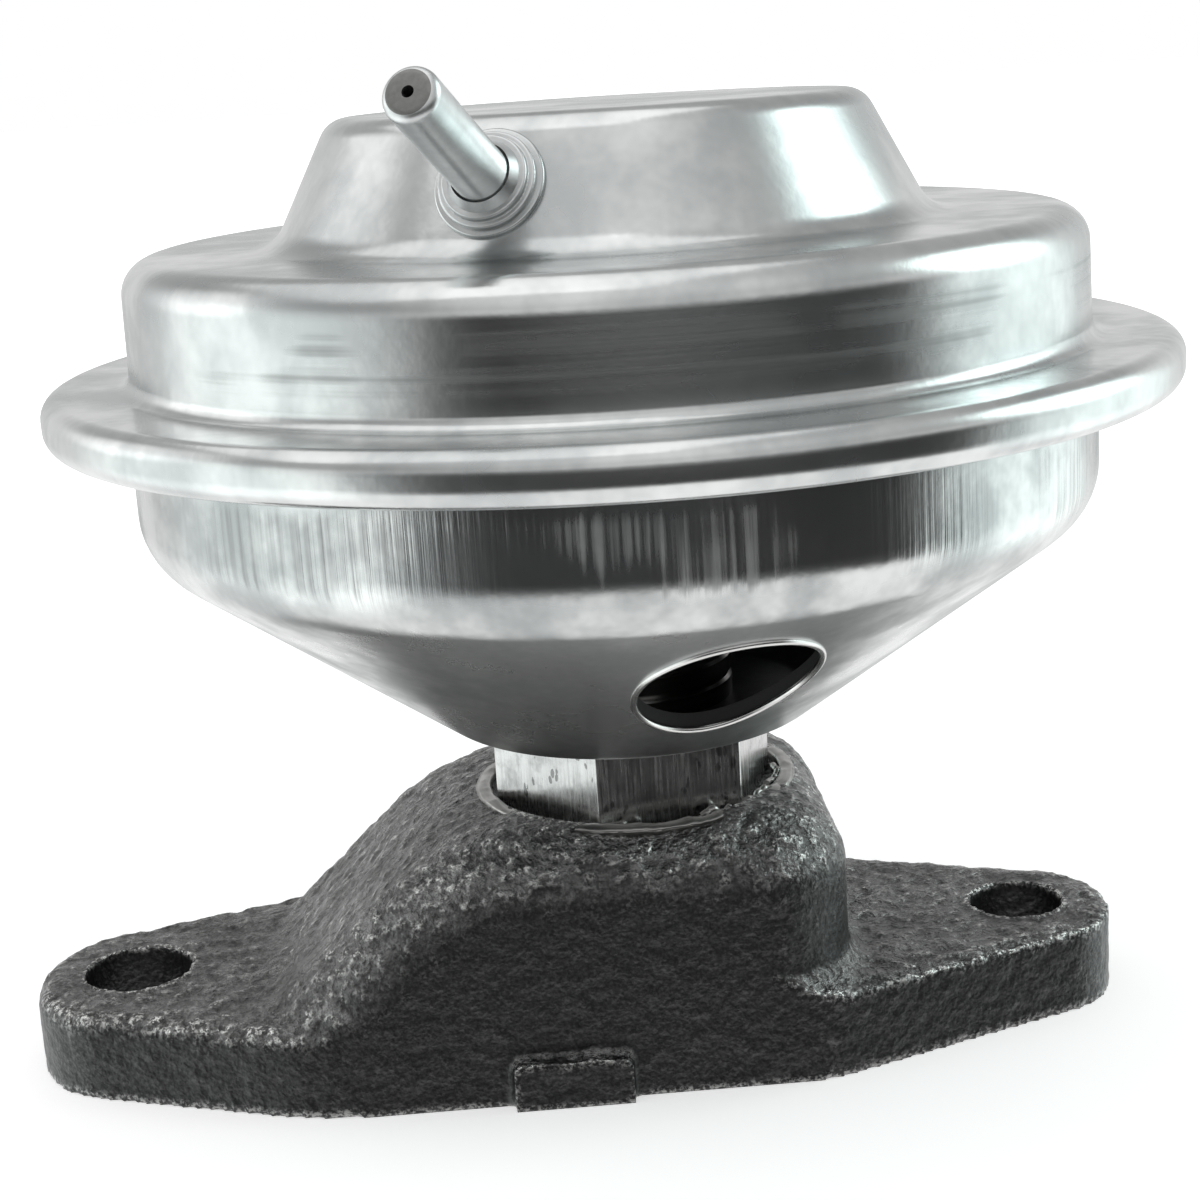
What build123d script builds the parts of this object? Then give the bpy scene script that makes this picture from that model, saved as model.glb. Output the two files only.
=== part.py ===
from build123d import *
import os
from math import atan2, cos, radians, sin, sqrt, tan

# Vacuum-lift exhaust gas recirculation valve. Millimetres, +Z up.
#
# Origin: where the valve axis meets the underside of the cast base. +X runs along the line of the two
# mounting bolts towards the shorter ear, so the exhaust leaves through the outlet on the -X side.
# A pintle on a long stem closes a seat in the base. A rubber diaphragm, clamped between two pressed
# shells, lifts the stem against a coil spring when suction reaches the hose nipple on the domed cover.

# ---- fits, clearances and sheet ----
RUNNING_CLEARANCE = 0.03   # radial, stem in its bushing
SEAL_CLEARANCE = 0.02      # radial, stem in its packing
SEAT_CLEARANCE = 0.05      # between the pintle's cone and the seat's when closed
LIFT = 4.4                 # stem travel from closed to fully open
LIFT_CLEARANCE = 0.6       # left over the soot deflector when fully open

# ---- cast base: mounting flange ----
FLANGE_THICKNESS = 8.0
FLANGE_HALF_WIDTH = 17.3
FLANGE_FLAT_LEFT = 29.0    # the parallel sides end this far left of the valve axis
FLANGE_FLAT_RIGHT = 14.6   # and this far right of it
WAIST_RADIUS_LEFT = 28.0   # rounds the sides into the left ear
WAIST_RADIUS_RIGHT = 7.5
BOLT_SPACING = 81.1
BOLT_OFFSET = 5.85         # the bolts' midpoint lies this far left of the valve axis
LEFT_BOLT_DIAMETER = 9.6
RIGHT_BOLT_DIAMETER = 8.3
LEFT_EAR_OVERHANG = 9.1    # from the bolt's axis to the ear's end
LEFT_EAR_END_WIDTH = 14.8
LEFT_EAR_CORNER = 10.0
RIGHT_EAR_OVERHANG = 8.4
RIGHT_EAR_END_WIDTH = 11.6
RIGHT_EAR_CORNER = 8.0
EAR_EDGE_RADIUS = 1.5

# ---- cast base: pedestal over the gas chamber ----
PEDESTAL_HEIGHT = 23.4     # top land above the mounting face
PEDESTAL_END = 17.6        # end wall, right of the valve axis
PEDESTAL_CORNER_RADIUS = 9.0
CROWN_RADIUS = 6.4         # rounds the pedestal's upper edges
CROWN_DEPTH = 8.5          # depth of the rounded crown that follows the top and the ramp
CORE_OVERLAP = 1.0         # the core reaches this far up into the crown
RAMP_TOP = 17.0            # the ramp's top corner, left of the axis
RAMP_FOOT = 33.6           # the ramp's foot, left of the axis
RAMP_SHOULDER_RADIUS = 21.0
RAMP_FOOT_RADIUS = 4.5
END_FOOT_RADIUS = 3.0      # blend of the end wall into the right ear
BLEND_DIP = 0.25           # the blend's arc ends this far under the ear's face, in a shallow edge
PAD_CENTRE = 7.6           # locating pad on the front face, left of the axis
PAD_WIDTH = 10.3
PAD_HEIGHT = 4.3
PAD_DEPTH = 1.2
PAD_EDGE_RADIUS = 0.9

# ---- cast base: gas way ----
INLET_RADIUS = 6.5
OUTLET_RADIUS = 5.5
OUTLET_OFFSET = 17.5       # outlet axis, left of the valve axis
PASSAGE_RADIUS = 4.1
PASSAGE_LAND = 0.1         # between the seat's top and the passage's floor

# ---- seat, pressed in from above ----
SEAT_LEDGE = 2.0           # ledge under the seat, between the inlet and the seat's bore
SEAT_BORE_RADIUS = 5.0
SEAT_HEIGHT = 3.5
SEAT_BOTTOM = 3.5
SEAT_CHAMFER = 1.0
CHAMBER_STEP = 0.5         # the chamber is this much wider than the seat, the thread than the chamber

# ---- hexagonal stem guide ----
HEX_ACROSS_FLATS = 22.2
HEX_TURN = 12.4            # one flat's normal is turned this far from -Y towards +X
HEX_RISE = 6.3             # above the pedestal's top land
HEX_POCKET_DEPTH = 1.5
HEX_POCKET_CLEARANCE = 0.3 # round the hexagon's corners
HEX_CHAMFER = 0.7          # the chamfer's inner circle is this much outside the flats
HEX_CHAMFER_ANGLE = 25.0
SHANK_CHAMFER = 0.6
GUIDE_HOLE_CLEARANCE = 0.5 # round the stem in the lip under the bushing and in the cap over it
GUIDE_LIP = 1.0            # lip under the bushing
SPIGOT_RADIUS = 6.2
SPIGOT_RISE = 4.1          # above the hexagon

# ---- stem, bushing, packing ----
STEM_RADIUS = 3.0
STEM_TAIL_RADIUS = 2.2     # lower end, pressed into the pintle
STEM_NECK_RADIUS = 2.5     # upper end, through the plates
BUSHING_WALL = 1.6
PACKING_HEIGHT = 1.9
PACKING_CLEARANCE = 0.3    # between the packing and its cap
PINTLE_OVERLAP = 1.3       # the pintle is this much wider than the seat's bore
PINTLE_TIP_RADIUS = 1.7
PINTLE_TIP_DEPTH = 3.3     # tip under the seat's top
PINTLE_NEEDLE_GAP = 0.9    # between the needle's root and the seat's bore
PINTLE_CROWN = 2.6         # pintle's top over the seat's
PINTLE_CHAMFER = 0.8
PINTLE_FLOOR = 1.6         # metal under the stem's tail
DEFLECTOR_RADIUS = 5.6
DEFLECTOR_GAUGE = 0.6
DEFLECTOR_DISH = 1.2
DEFLECTOR_BEND = 0.8

# ---- pressed shells ----
SHELL_GAUGE = 1.1
CUP_FLOOR_MARGIN = 3.2     # the floor turns into the cone this far outside the hexagon's corners
CUP_FLOOR_CORNER = 2.0
CUP_CONE_RISE = 18.5       # from the hexagon up to where the cone turns into the upright wall
CUP_CORNER_RADIUS = 6.0
CUP_WALL_RISE = 11.7       # from there to the parting face under the diaphragm
CUP_LIP_RADIUS = 0.8
VENT_RADIUS = 7.2          # the vents are pierced upright through the cone, half-way out
VENT_COUNT = 3
VENT_START = -77.8         # direction of the first vent from +X, degrees
COVER_WALL_RADIUS = 40.6   # outside of the cover's wall at its foot
COVER_WALL_TAPER = 0.2
COVER_WALL_RISE = 10.4     # from the rim's top face to the shoulder
COVER_SHOULDER_RADIUS = 2.9
WALL_FOOT_RADIUS = 1.2
SHELL_STEP = 0.5           # the cup's wall stands this far outside the cover's
RIM_WIDTH = 7.4            # from the cover's wall to the rim's rolled edge
RIM_ROLL_RADIUS = 1.7
HEM_WIDTH = 3.4
HEM_CLEARANCE = 0.6        # round the edge of the diaphragm and of the cup's flange
ANNULUS_WIDTH = 12.7       # from the top of the cover's wall in to the dome
DOME_TAPER = 5.4
DOME_HEIGHT = 10.2
DOME_CORNER_RADIUS = 2.6
DOME_FOOT_RADIUS = 3.0

# ---- cup clamping ----
CLAMP_WIDTH = 3.0          # of the ring round the guide's spigot
CLAMP_HEIGHT = 1.8
CLAMP_CHAMFER = 0.25
RETAINER_GROOVE_DEPTH = 0.8
RETAINER_GROOVE_HEIGHT = 0.45
RETAINER_TOP_THICKNESS = 0.9

# ---- hose nipple ----
NIPPLE_DIRECTION = -112.0  # from +X, degrees
NIPPLE_RISE = 5.3          # its axis leaves the dome's side this far over the shoulder
NIPPLE_LENGTH = 15.3
NIPPLE_RADIUS = 2.15
NIPPLE_TIP_ROUND = 0.8
NIPPLE_ROOT_STEP = 0.2     # its root in the collar and the dome is this much thicker
NIPPLE_WALL = 0.8
NIPPLE_TAIL = 2.4          # length inside the dome
ORIFICE_RADIUS = 0.45
ORIFICE_LENGTH = 1.6
NIPPLE_PAD_MARGIN = 0.5    # raised round pad on the dome, round the collar
NIPPLE_PAD_RISE = 0.35
COLLAR_WIDTH = 1.5
COLLAR_STEP_WIDTH = 1.0
COLLAR_FLARE_WIDTH = 0.5
COLLAR_LOWER_HEIGHT = 0.5
COLLAR_HEIGHT = 1.0
COLLAR_EDGE_ROUND = 0.2
COLLAR_FLARE_HEIGHT = 0.7

# ---- diaphragm, plates and spring ----
DIAPHRAGM_GAUGE = 0.9
DIAPHRAGM_HOLE_CLEARANCE = 0.2
DIAPHRAGM_DROP = 6.7       # its clamped centre lies this far under the rim when closed
DIAPHRAGM_MARGIN = 0.2     # its clamped edge begins this far inside the cover's wall
CONVOLUTION_INSET = 5.8    # crest of the convolution, inside the clamped edge
CONVOLUTION_RISE = 2.7     # its crest lies this far over the rim's parting face
CONVOLUTION_FALL = 3.0     # from the crest in to the flat centre
CONVOLUTION_CREST_RADIUS = 2.2
CONVOLUTION_FOOT_RADIUS = 1.6
CONVOLUTION_EDGE_RADIUS = 1.6
PLATE_GAUGE = 1.0
PLATE_BEND = 1.0           # inner bend radius
UPPER_PLATE_INSET = 2.0    # inside the diaphragm's flat centre
UPPER_PLATE_WALL = 5.0
LOWER_PLATE_INSET = 0.6
LOWER_PLATE_LIP = 2.0
SPACER_RADIUS = 7.0
SPACER_HEIGHT = 2.0
SPACER_CHAMFER = 0.5
WASHER_HEIGHT = 1.2
WASHER_ROUND = 0.4
RIVET_OVERHANG = 1.5
RIVET_HEIGHT = 1.8
SPRING_SEAT_INSET = 2.7    # inside the dome's flat top
SPRING_INSET = 3.0         # centre of the wire, inside the spring seat's edge
SPRING_WIRE_RADIUS = 1.1
SPRING_TURNS = 5
SPRING_OVERRUN = 0.3       # share of a turn that grinding takes off the two ends
SPRING_CENTRING = 0.7      # clearance round the washer that centres the coils
SPRING_SEAT_CENTRING = 0.9 # and round the seat's lip at their other end
SPRING_SEAT_GAUGE = 0.9
SPRING_SEAT_DEPTH = 3.6


def dome_side_radius(height: float) -> float:
    """Radius of the dome's slanted side at a height."""
    return dome_base_radius - DOME_TAPER * (height - shoulder_z) / DOME_HEIGHT


def cone_height(radius: float) -> float:
    """Height at which the closed pintle's seating cone has a radius."""
    gap = SEAT_CLEARANCE / cos(radians(45))
    return seat_top_z + radius - (SEAT_BORE_RADIUS + SEAT_CHAMFER) + gap


# ---- places in the base ----
left_bolt_x = -BOLT_OFFSET - BOLT_SPACING / 2
right_bolt_x = -BOLT_OFFSET + BOLT_SPACING / 2
left_ear_x = left_bolt_x - LEFT_EAR_OVERHANG
right_ear_x = right_bolt_x + RIGHT_EAR_OVERHANG
ramp_slope = atan2(PEDESTAL_HEIGHT - FLANGE_THICKNESS, RAMP_FOOT - RAMP_TOP)
ramp_end_x = -RAMP_FOOT - RAMP_FOOT_RADIUS * tan(ramp_slope / 2)
core_depth = CROWN_DEPTH - CORE_OVERLAP
core_shift = core_depth / sin(ramp_slope) - CORE_OVERLAP / tan(ramp_slope)
core_top_shift = core_depth * tan(ramp_slope / 2)
corner_x = PEDESTAL_END - PEDESTAL_CORNER_RADIUS
front_corner_line = Axis((corner_x, PEDESTAL_CORNER_RADIUS - FLANGE_HALF_WIDTH, 0), (0, 0, -1))
plinth_start_x = -RAMP_FOOT + CROWN_RADIUS / tan(ramp_slope)
plinth_end_x = corner_x + sqrt(PEDESTAL_CORNER_RADIUS**2 - (PEDESTAL_CORNER_RADIUS - EAR_EDGE_RADIUS) ** 2)
seat_radius = INLET_RADIUS + SEAT_LEDGE
chamber_radius = seat_radius + CHAMBER_STEP
shank_radius = chamber_radius + CHAMBER_STEP
seat_top_z = SEAT_BOTTOM + SEAT_HEIGHT
passage_z = seat_top_z + PASSAGE_LAND + PASSAGE_RADIUS

# ---- places on the valve axis, from the seat up ----
pintle_radius = SEAT_BORE_RADIUS + PINTLE_OVERLAP
needle_radius = SEAT_BORE_RADIUS - PINTLE_NEEDLE_GAP
pintle_tip_z = seat_top_z - PINTLE_TIP_DEPTH
pintle_top_z = seat_top_z + PINTLE_CROWN
stem_tail_z = pintle_tip_z + PINTLE_FLOOR
deflector_rim_z = pintle_top_z + DEFLECTOR_GAUGE + DEFLECTOR_DISH / 2
shank_bottom_z = deflector_rim_z + LIFT + LIFT_CLEARANCE
pocket_floor_z = PEDESTAL_HEIGHT - HEX_POCKET_DEPTH
hex_top_z = PEDESTAL_HEIGHT + HEX_RISE
hex_corner_radius = HEX_ACROSS_FLATS / 2 / cos(radians(30))
pocket_radius = hex_corner_radius + HEX_POCKET_CLEARANCE
spigot_top_z = hex_top_z + SPIGOT_RISE
guide_hole_radius = STEM_RADIUS + GUIDE_HOLE_CLEARANCE
bushing_radius = STEM_RADIUS + BUSHING_WALL
bushing_bottom_z = shank_bottom_z + GUIDE_LIP
packing_bottom_z = spigot_top_z - PACKING_CLEARANCE - PACKING_HEIGHT

# ---- places on the shells ----
cup_floor_top_z = hex_top_z + SHELL_GAUGE
clamp_top_z = cup_floor_top_z + CLAMP_HEIGHT
clamp_radius = SPIGOT_RADIUS + CLAMP_WIDTH
cup_floor_radius = hex_corner_radius + CUP_FLOOR_MARGIN
cup_wall_radius = COVER_WALL_RADIUS + SHELL_STEP
cup_slope = atan2(CUP_CONE_RISE, cup_wall_radius - cup_floor_radius)
cup_inner_floor_radius = cup_floor_radius - SHELL_GAUGE * tan(cup_slope / 2)
cup_inner_wall_radius = cup_wall_radius - SHELL_GAUGE
cup_inner_corner_z = hex_top_z + CUP_CONE_RISE + SHELL_GAUGE * tan((radians(90) - cup_slope) / 2)
vent_circle_radius = (cup_floor_radius + cup_wall_radius) / 2
rim_z = hex_top_z + CUP_CONE_RISE + CUP_WALL_RISE
rim_radius = COVER_WALL_RADIUS + RIM_WIDTH
hem_inner_radius = rim_radius - HEM_WIDTH
hem_bottom_z = rim_z - 2 * SHELL_GAUGE
clamped_radius = rim_radius - SHELL_GAUGE - HEM_CLEARANCE
rim_top_z = rim_z + DIAPHRAGM_GAUGE + SHELL_GAUGE
shoulder_z = rim_top_z + COVER_WALL_RISE
wall_top_radius = COVER_WALL_RADIUS - COVER_WALL_TAPER
dome_base_radius = wall_top_radius - ANNULUS_WIDTH
dome_top_radius = dome_base_radius - DOME_TAPER
dome_top_z = shoulder_z + DOME_HEIGHT
dome_inside_z = dome_top_z - SHELL_GAUGE
dome_tilt = atan2(DOME_TAPER, DOME_HEIGHT)

# ---- places on the hose nipple ----
nipple_z = shoulder_z + NIPPLE_RISE
nipple_root = Vector(dome_side_radius(nipple_z), 0, nipple_z).rotate(Axis.Z, NIPPLE_DIRECTION)
nipple_axis = Vector(cos(dome_tilt), 0, sin(dome_tilt)).rotate(Axis.Z, NIPPLE_DIRECTION)
nipple_plane = Plane(origin=nipple_root, z_dir=nipple_axis)
nipple_section_plane = Plane(origin=nipple_root, x_dir=nipple_plane.x_dir, z_dir=-nipple_plane.y_dir)
nipple_line = Axis(nipple_root, nipple_axis)
root_radius = NIPPLE_RADIUS + NIPPLE_ROOT_STEP
collar_radius = root_radius + COLLAR_WIDTH
collar_step_radius = root_radius + COLLAR_STEP_WIDTH
collar_step_z = NIPPLE_PAD_RISE + COLLAR_LOWER_HEIGHT
collar_top_z = NIPPLE_PAD_RISE + COLLAR_HEIGHT
hose_stop_z = collar_top_z + COLLAR_FLARE_HEIGHT

# ---- places on the moving pack, closed ----
centre_z = rim_z - DIAPHRAGM_DROP
lower_plate_z = centre_z - PLATE_GAUGE
spacer_z = lower_plate_z - SPACER_HEIGHT
upper_plate_z = centre_z + DIAPHRAGM_GAUGE
washer_z = upper_plate_z + PLATE_GAUGE
rivet_z = washer_z + WASHER_HEIGHT
rivet_radius = STEM_NECK_RADIUS + RIVET_OVERHANG
rivet_crown_radius = (rivet_radius**2 + RIVET_HEIGHT**2) / (2 * RIVET_HEIGHT)
edge_radius = COVER_WALL_RADIUS - DIAPHRAGM_MARGIN
crest_radius = edge_radius - CONVOLUTION_INSET
flat_radius = crest_radius - CONVOLUTION_FALL
upper_plate_radius = flat_radius - UPPER_PLATE_INSET
lower_plate_radius = flat_radius - LOWER_PLATE_INSET
spring_seat_radius = dome_top_radius - SPRING_SEAT_INSET
spring_radius = spring_seat_radius - SPRING_INSET
spring_top_z = dome_inside_z - SPRING_SEAT_GAUGE
spring_pitch = (spring_top_z - washer_z) / SPRING_TURNS
washer_radius = spring_radius - SPRING_WIRE_RADIUS - SPRING_CENTRING
seat_lip_radius = spring_radius - SPRING_WIRE_RADIUS - SPRING_SEAT_CENTRING

os.makedirs("parts", exist_ok=True)


# ---------------------------------------------------------------- cast base
with BuildSketch() as flange_plan:
    with BuildLine():
        FilletPolyline(
            (left_ear_x, -LEFT_EAR_END_WIDTH / 2),
            (-FLANGE_FLAT_LEFT, -FLANGE_HALF_WIDTH),
            (FLANGE_FLAT_RIGHT, -FLANGE_HALF_WIDTH),
            (right_ear_x, -RIGHT_EAR_END_WIDTH / 2),
            (right_ear_x, RIGHT_EAR_END_WIDTH / 2),
            (FLANGE_FLAT_RIGHT, FLANGE_HALF_WIDTH),
            (-FLANGE_FLAT_LEFT, FLANGE_HALF_WIDTH),
            (left_ear_x, LEFT_EAR_END_WIDTH / 2),
            radius=[
                LEFT_EAR_CORNER,
                WAIST_RADIUS_LEFT,
                WAIST_RADIUS_RIGHT,
                RIGHT_EAR_CORNER,
                RIGHT_EAR_CORNER,
                WAIST_RADIUS_RIGHT,
                WAIST_RADIUS_LEFT,
                LEFT_EAR_CORNER,
            ],
            close=True,
        )
    make_face()

with BuildPart() as flange:
    extrude(flange_plan.sketch, amount=FLANGE_THICKNESS)
    fillet(edges().group_by(Axis.Z)[-1], EAR_EDGE_RADIUS)

# Pedestal's crown: a strip with rounded edges that runs up the ramp and along the top land.
with BuildPart() as crown:
    with BuildLine(Plane.XZ) as crown_line:
        FilletPolyline(
            (ramp_end_x - CORE_OVERLAP, FLANGE_THICKNESS),
            (-RAMP_FOOT, FLANGE_THICKNESS),
            (-RAMP_TOP, PEDESTAL_HEIGHT),
            (corner_x, PEDESTAL_HEIGHT),
            radius=[RAMP_FOOT_RADIUS, RAMP_SHOULDER_RADIUS],
        )
    start_plane = Plane(origin=crown_line.line @ 0, x_dir=(0, 1, 0), z_dir=crown_line.line % 0)
    with BuildSketch(start_plane) as crown_section:
        Rectangle(2 * FLANGE_HALF_WIDTH, CROWN_DEPTH, align=(Align.CENTER, Align.MAX))
        fillet(crown_section.vertices().group_by(Axis.Y)[-1], CROWN_RADIUS)
    sweep(path=crown_line.line)
    # Core under the crown, its side profile parallel to the crown's.
    with BuildSketch(Plane.XZ):
        with BuildLine():
            core = FilletPolyline(
                (-RAMP_FOOT + core_shift, FLANGE_THICKNESS - CORE_OVERLAP),
                (-RAMP_TOP + core_top_shift, PEDESTAL_HEIGHT - core_depth),
                (corner_x, PEDESTAL_HEIGHT - core_depth),
                radius=[RAMP_SHOULDER_RADIUS - core_depth],
            )
            Polyline(core @ 1, (corner_x, FLANGE_THICKNESS - CORE_OVERLAP), core @ 0)
        make_face()
    extrude(amount=FLANGE_HALF_WIDTH, both=True)
    # Nothing of the crown stands outside the flange's own sides or under its top.
    with BuildSketch(Plane.XY.offset(FLANGE_THICKNESS - CORE_OVERLAP)):
        add(flange_plan.sketch)
    extrude(amount=PEDESTAL_HEIGHT, mode=Mode.INTERSECT)

# Pedestal's right end: rounded corners, the crown's edge, and a blend into the right ear.
with BuildPart() as pedestal_end:
    with BuildSketch(Plane.XZ.offset(FLANGE_HALF_WIDTH - PEDESTAL_CORNER_RADIUS)) as end_section:
        with BuildLine():
            FilletPolyline(
                (corner_x, FLANGE_THICKNESS - EAR_EDGE_RADIUS),
                (right_ear_x, FLANGE_THICKNESS - EAR_EDGE_RADIUS),
                (right_ear_x, FLANGE_THICKNESS - BLEND_DIP),
                (PEDESTAL_END, FLANGE_THICKNESS - BLEND_DIP),
                (PEDESTAL_END, PEDESTAL_HEIGHT),
                (corner_x, PEDESTAL_HEIGHT),
                radius=[0, 0, 0, END_FOOT_RADIUS, CROWN_RADIUS, 0],
                close=True,
            )
        make_face()
    extrude(amount=-2 * (FLANGE_HALF_WIDTH - PEDESTAL_CORNER_RADIUS))
    revolve(end_section.sketch, axis=front_corner_line, revolution_arc=90)
    with BuildSketch(Plane.XY.offset(FLANGE_THICKNESS - EAR_EDGE_RADIUS)):
        add(flange_plan.sketch)
    extrude(amount=PEDESTAL_HEIGHT, mode=Mode.INTERSECT)

with BuildPart() as base_casting:
    add(crown.part)
    add(pedestal_end.part)
    mirror(pedestal_end.part, about=Plane.XZ)
    # Plinth: carries the pedestal's walls down flush with the flange's sides.
    with BuildSketch(Plane.XY.offset(FLANGE_THICKNESS - EAR_EDGE_RADIUS)):
        add(flange_plan.sketch)
        with Locations((plinth_start_x, 0)):
            Rectangle(
                plinth_end_x - plinth_start_x,
                2 * FLANGE_HALF_WIDTH,
                align=(Align.MIN, Align.CENTER),
                mode=Mode.INTERSECT,
            )
    extrude(amount=EAR_EDGE_RADIUS)
    # Flange with its two ears, and the locating pad on its front face.
    add(flange.part)
    with BuildSketch(Plane.XZ.offset(FLANGE_HALF_WIDTH + PAD_DEPTH)) as pad_face:
        with Locations((-PAD_CENTRE, 0)):
            Rectangle(PAD_WIDTH, PAD_HEIGHT, align=(Align.CENTER, Align.MIN))
        fillet(pad_face.vertices().group_by(Axis.Y)[-1], PAD_EDGE_RADIUS)
    extrude(amount=-2 * PAD_DEPTH)
    # Bolt holes.
    with BuildSketch():
        with Locations((left_bolt_x, 0)):
            Circle(LEFT_BOLT_DIAMETER / 2)
        with Locations((right_bolt_x, 0)):
            Circle(RIGHT_BOLT_DIAMETER / 2)
    extrude(amount=PEDESTAL_HEIGHT, mode=Mode.SUBTRACT)
    # Stepped bore on the valve axis: inlet, seat press, chamber, guide thread, hexagon pocket.
    with BuildSketch(Plane.XZ) as axis_bore:
        with BuildLine():
            Polyline(
                (0, 0),
                (INLET_RADIUS, 0),
                (INLET_RADIUS, SEAT_BOTTOM),
                (seat_radius, SEAT_BOTTOM),
                (seat_radius, seat_top_z),
                (chamber_radius, seat_top_z),
                (chamber_radius, shank_bottom_z),
                (shank_radius, shank_bottom_z),
                (shank_radius, pocket_floor_z),
                (pocket_radius, pocket_floor_z),
                (pocket_radius, PEDESTAL_HEIGHT),
                (0, PEDESTAL_HEIGHT),
                close=True,
            )
        make_face()
    revolve(axis=Axis.Z, mode=Mode.SUBTRACT)
    # Cored passage from the chamber across to the outlet, with a round end over it.
    with BuildSketch(Plane.YZ):
        with Locations((0, passage_z)):
            Circle(PASSAGE_RADIUS)
    extrude(amount=-OUTLET_OFFSET, mode=Mode.SUBTRACT)
    with BuildSketch():
        with Locations((-OUTLET_OFFSET, 0)):
            Circle(OUTLET_RADIUS)
    extrude(amount=passage_z, mode=Mode.SUBTRACT)
    with Locations((-OUTLET_OFFSET, 0, passage_z)):
        Sphere(PASSAGE_RADIUS, mode=Mode.SUBTRACT)

base_casting.part.label = "base_casting"
export_step(base_casting.part, "parts/base_casting.step")

# ---------------------------------------------------------------- valve seat
with BuildPart() as valve_seat:
    with BuildSketch(Plane.XZ):
        with BuildLine():
            Polyline(
                (SEAT_BORE_RADIUS, SEAT_BOTTOM),
                (seat_radius, SEAT_BOTTOM),
                (seat_radius, seat_top_z),
                (SEAT_BORE_RADIUS + SEAT_CHAMFER, seat_top_z),
                (SEAT_BORE_RADIUS, seat_top_z - SEAT_CHAMFER),
                close=True,
            )
        make_face()
    revolve(axis=Axis.Z)

valve_seat.part.label = "valve_seat"
export_step(valve_seat.part, "parts/valve_seat.step")

# ---------------------------------------------------------------- hexagonal stem guide
with BuildPart() as stem_guide:
    with BuildSketch(Plane.XY.offset(pocket_floor_z)):
        RegularPolygon(HEX_ACROSS_FLATS / 2, 6, major_radius=False, rotation=HEX_TURN)
    extrude(amount=hex_top_z - pocket_floor_z)
    # The hexagon's upper corners are turned to a shallow cone.
    chamfer_radius = HEX_ACROSS_FLATS / 2 + HEX_CHAMFER
    chamfer_drop = (HEX_ACROSS_FLATS - chamfer_radius) * tan(radians(HEX_CHAMFER_ANGLE))
    with BuildSketch(Plane.XZ):
        with BuildLine():
            Polyline(
                (chamfer_radius, hex_top_z),
                (HEX_ACROSS_FLATS, hex_top_z),
                (HEX_ACROSS_FLATS, hex_top_z - chamfer_drop),
                close=True,
            )
        make_face()
    revolve(axis=Axis.Z, mode=Mode.SUBTRACT)
    with BuildSketch(Plane.XY.offset(shank_bottom_z)):
        Circle(shank_radius)
    extrude(amount=pocket_floor_z - shank_bottom_z)
    chamfer(edges().group_by(Axis.Z)[0], SHANK_CHAMFER)
    with BuildSketch(Plane.XY.offset(hex_top_z)):
        Circle(SPIGOT_RADIUS)
    extrude(amount=spigot_top_z - hex_top_z)
    with BuildSketch(Plane.XY.offset(shank_bottom_z)):
        Circle(guide_hole_radius)
    extrude(amount=spigot_top_z - shank_bottom_z, mode=Mode.SUBTRACT)
    with BuildSketch(Plane.XY.offset(bushing_bottom_z)):
        Circle(bushing_radius)
    extrude(amount=spigot_top_z - bushing_bottom_z, mode=Mode.SUBTRACT)

stem_guide.part.label = "stem_guide"
export_step(stem_guide.part, "parts/stem_guide.step")

# ---------------------------------------------------------------- bushing and packing in the guide
with BuildPart() as guide_bushing:
    with BuildSketch(Plane.XY.offset(bushing_bottom_z)):
        Circle(bushing_radius)
        Circle(STEM_RADIUS + RUNNING_CLEARANCE, mode=Mode.SUBTRACT)
    extrude(amount=packing_bottom_z - bushing_bottom_z)

guide_bushing.part.label = "guide_bushing"
export_step(guide_bushing.part, "parts/guide_bushing.step")

with BuildPart() as stem_packing:
    with BuildSketch(Plane.XY.offset(packing_bottom_z)):
        Circle(bushing_radius)
        Circle(STEM_RADIUS + SEAL_CLEARANCE, mode=Mode.SUBTRACT)
    extrude(amount=PACKING_HEIGHT)

stem_packing.part.label = "stem_packing"
export_step(stem_packing.part, "parts/stem_packing.step")

# ---------------------------------------------------------------- lower cup, pressed, with pierced vents
with BuildPart() as lower_cup:
    with BuildSketch(Plane.XZ):
        with BuildLine():
            FilletPolyline(
                (SPIGOT_RADIUS, cup_floor_top_z),
                (cup_inner_floor_radius, cup_floor_top_z),
                (cup_inner_wall_radius, cup_inner_corner_z),
                (cup_inner_wall_radius, rim_z),
                (clamped_radius, rim_z),
                radius=[CUP_FLOOR_CORNER, CUP_CORNER_RADIUS - SHELL_GAUGE, CUP_LIP_RADIUS],
            )
            offset(amount=SHELL_GAUGE, side=Side.RIGHT)
        make_face()
    revolve(axis=Axis.Z)
    with BuildSketch():
        with PolarLocations(vent_circle_radius, VENT_COUNT, start_angle=VENT_START):
            Circle(VENT_RADIUS)
    extrude(amount=rim_z, mode=Mode.SUBTRACT)

lower_cup.part.label = "lower_cup"
export_step(lower_cup.part, "parts/lower_cup.step")

# ---------------------------------------------------------------- ring and cap that clamp the cup
with BuildPart() as cup_clamp_ring:
    with BuildSketch(Plane.XY.offset(cup_floor_top_z)):
        Circle(clamp_radius)
        Circle(SPIGOT_RADIUS, mode=Mode.SUBTRACT)
    extrude(amount=CLAMP_HEIGHT)
    chamfer(edges().group_by(Axis.Z)[-1].sort_by(SortBy.RADIUS)[-1], CLAMP_CHAMFER)

cup_clamp_ring.part.label = "cup_clamp_ring"
export_step(cup_clamp_ring.part, "parts/cup_clamp_ring.step")

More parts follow.
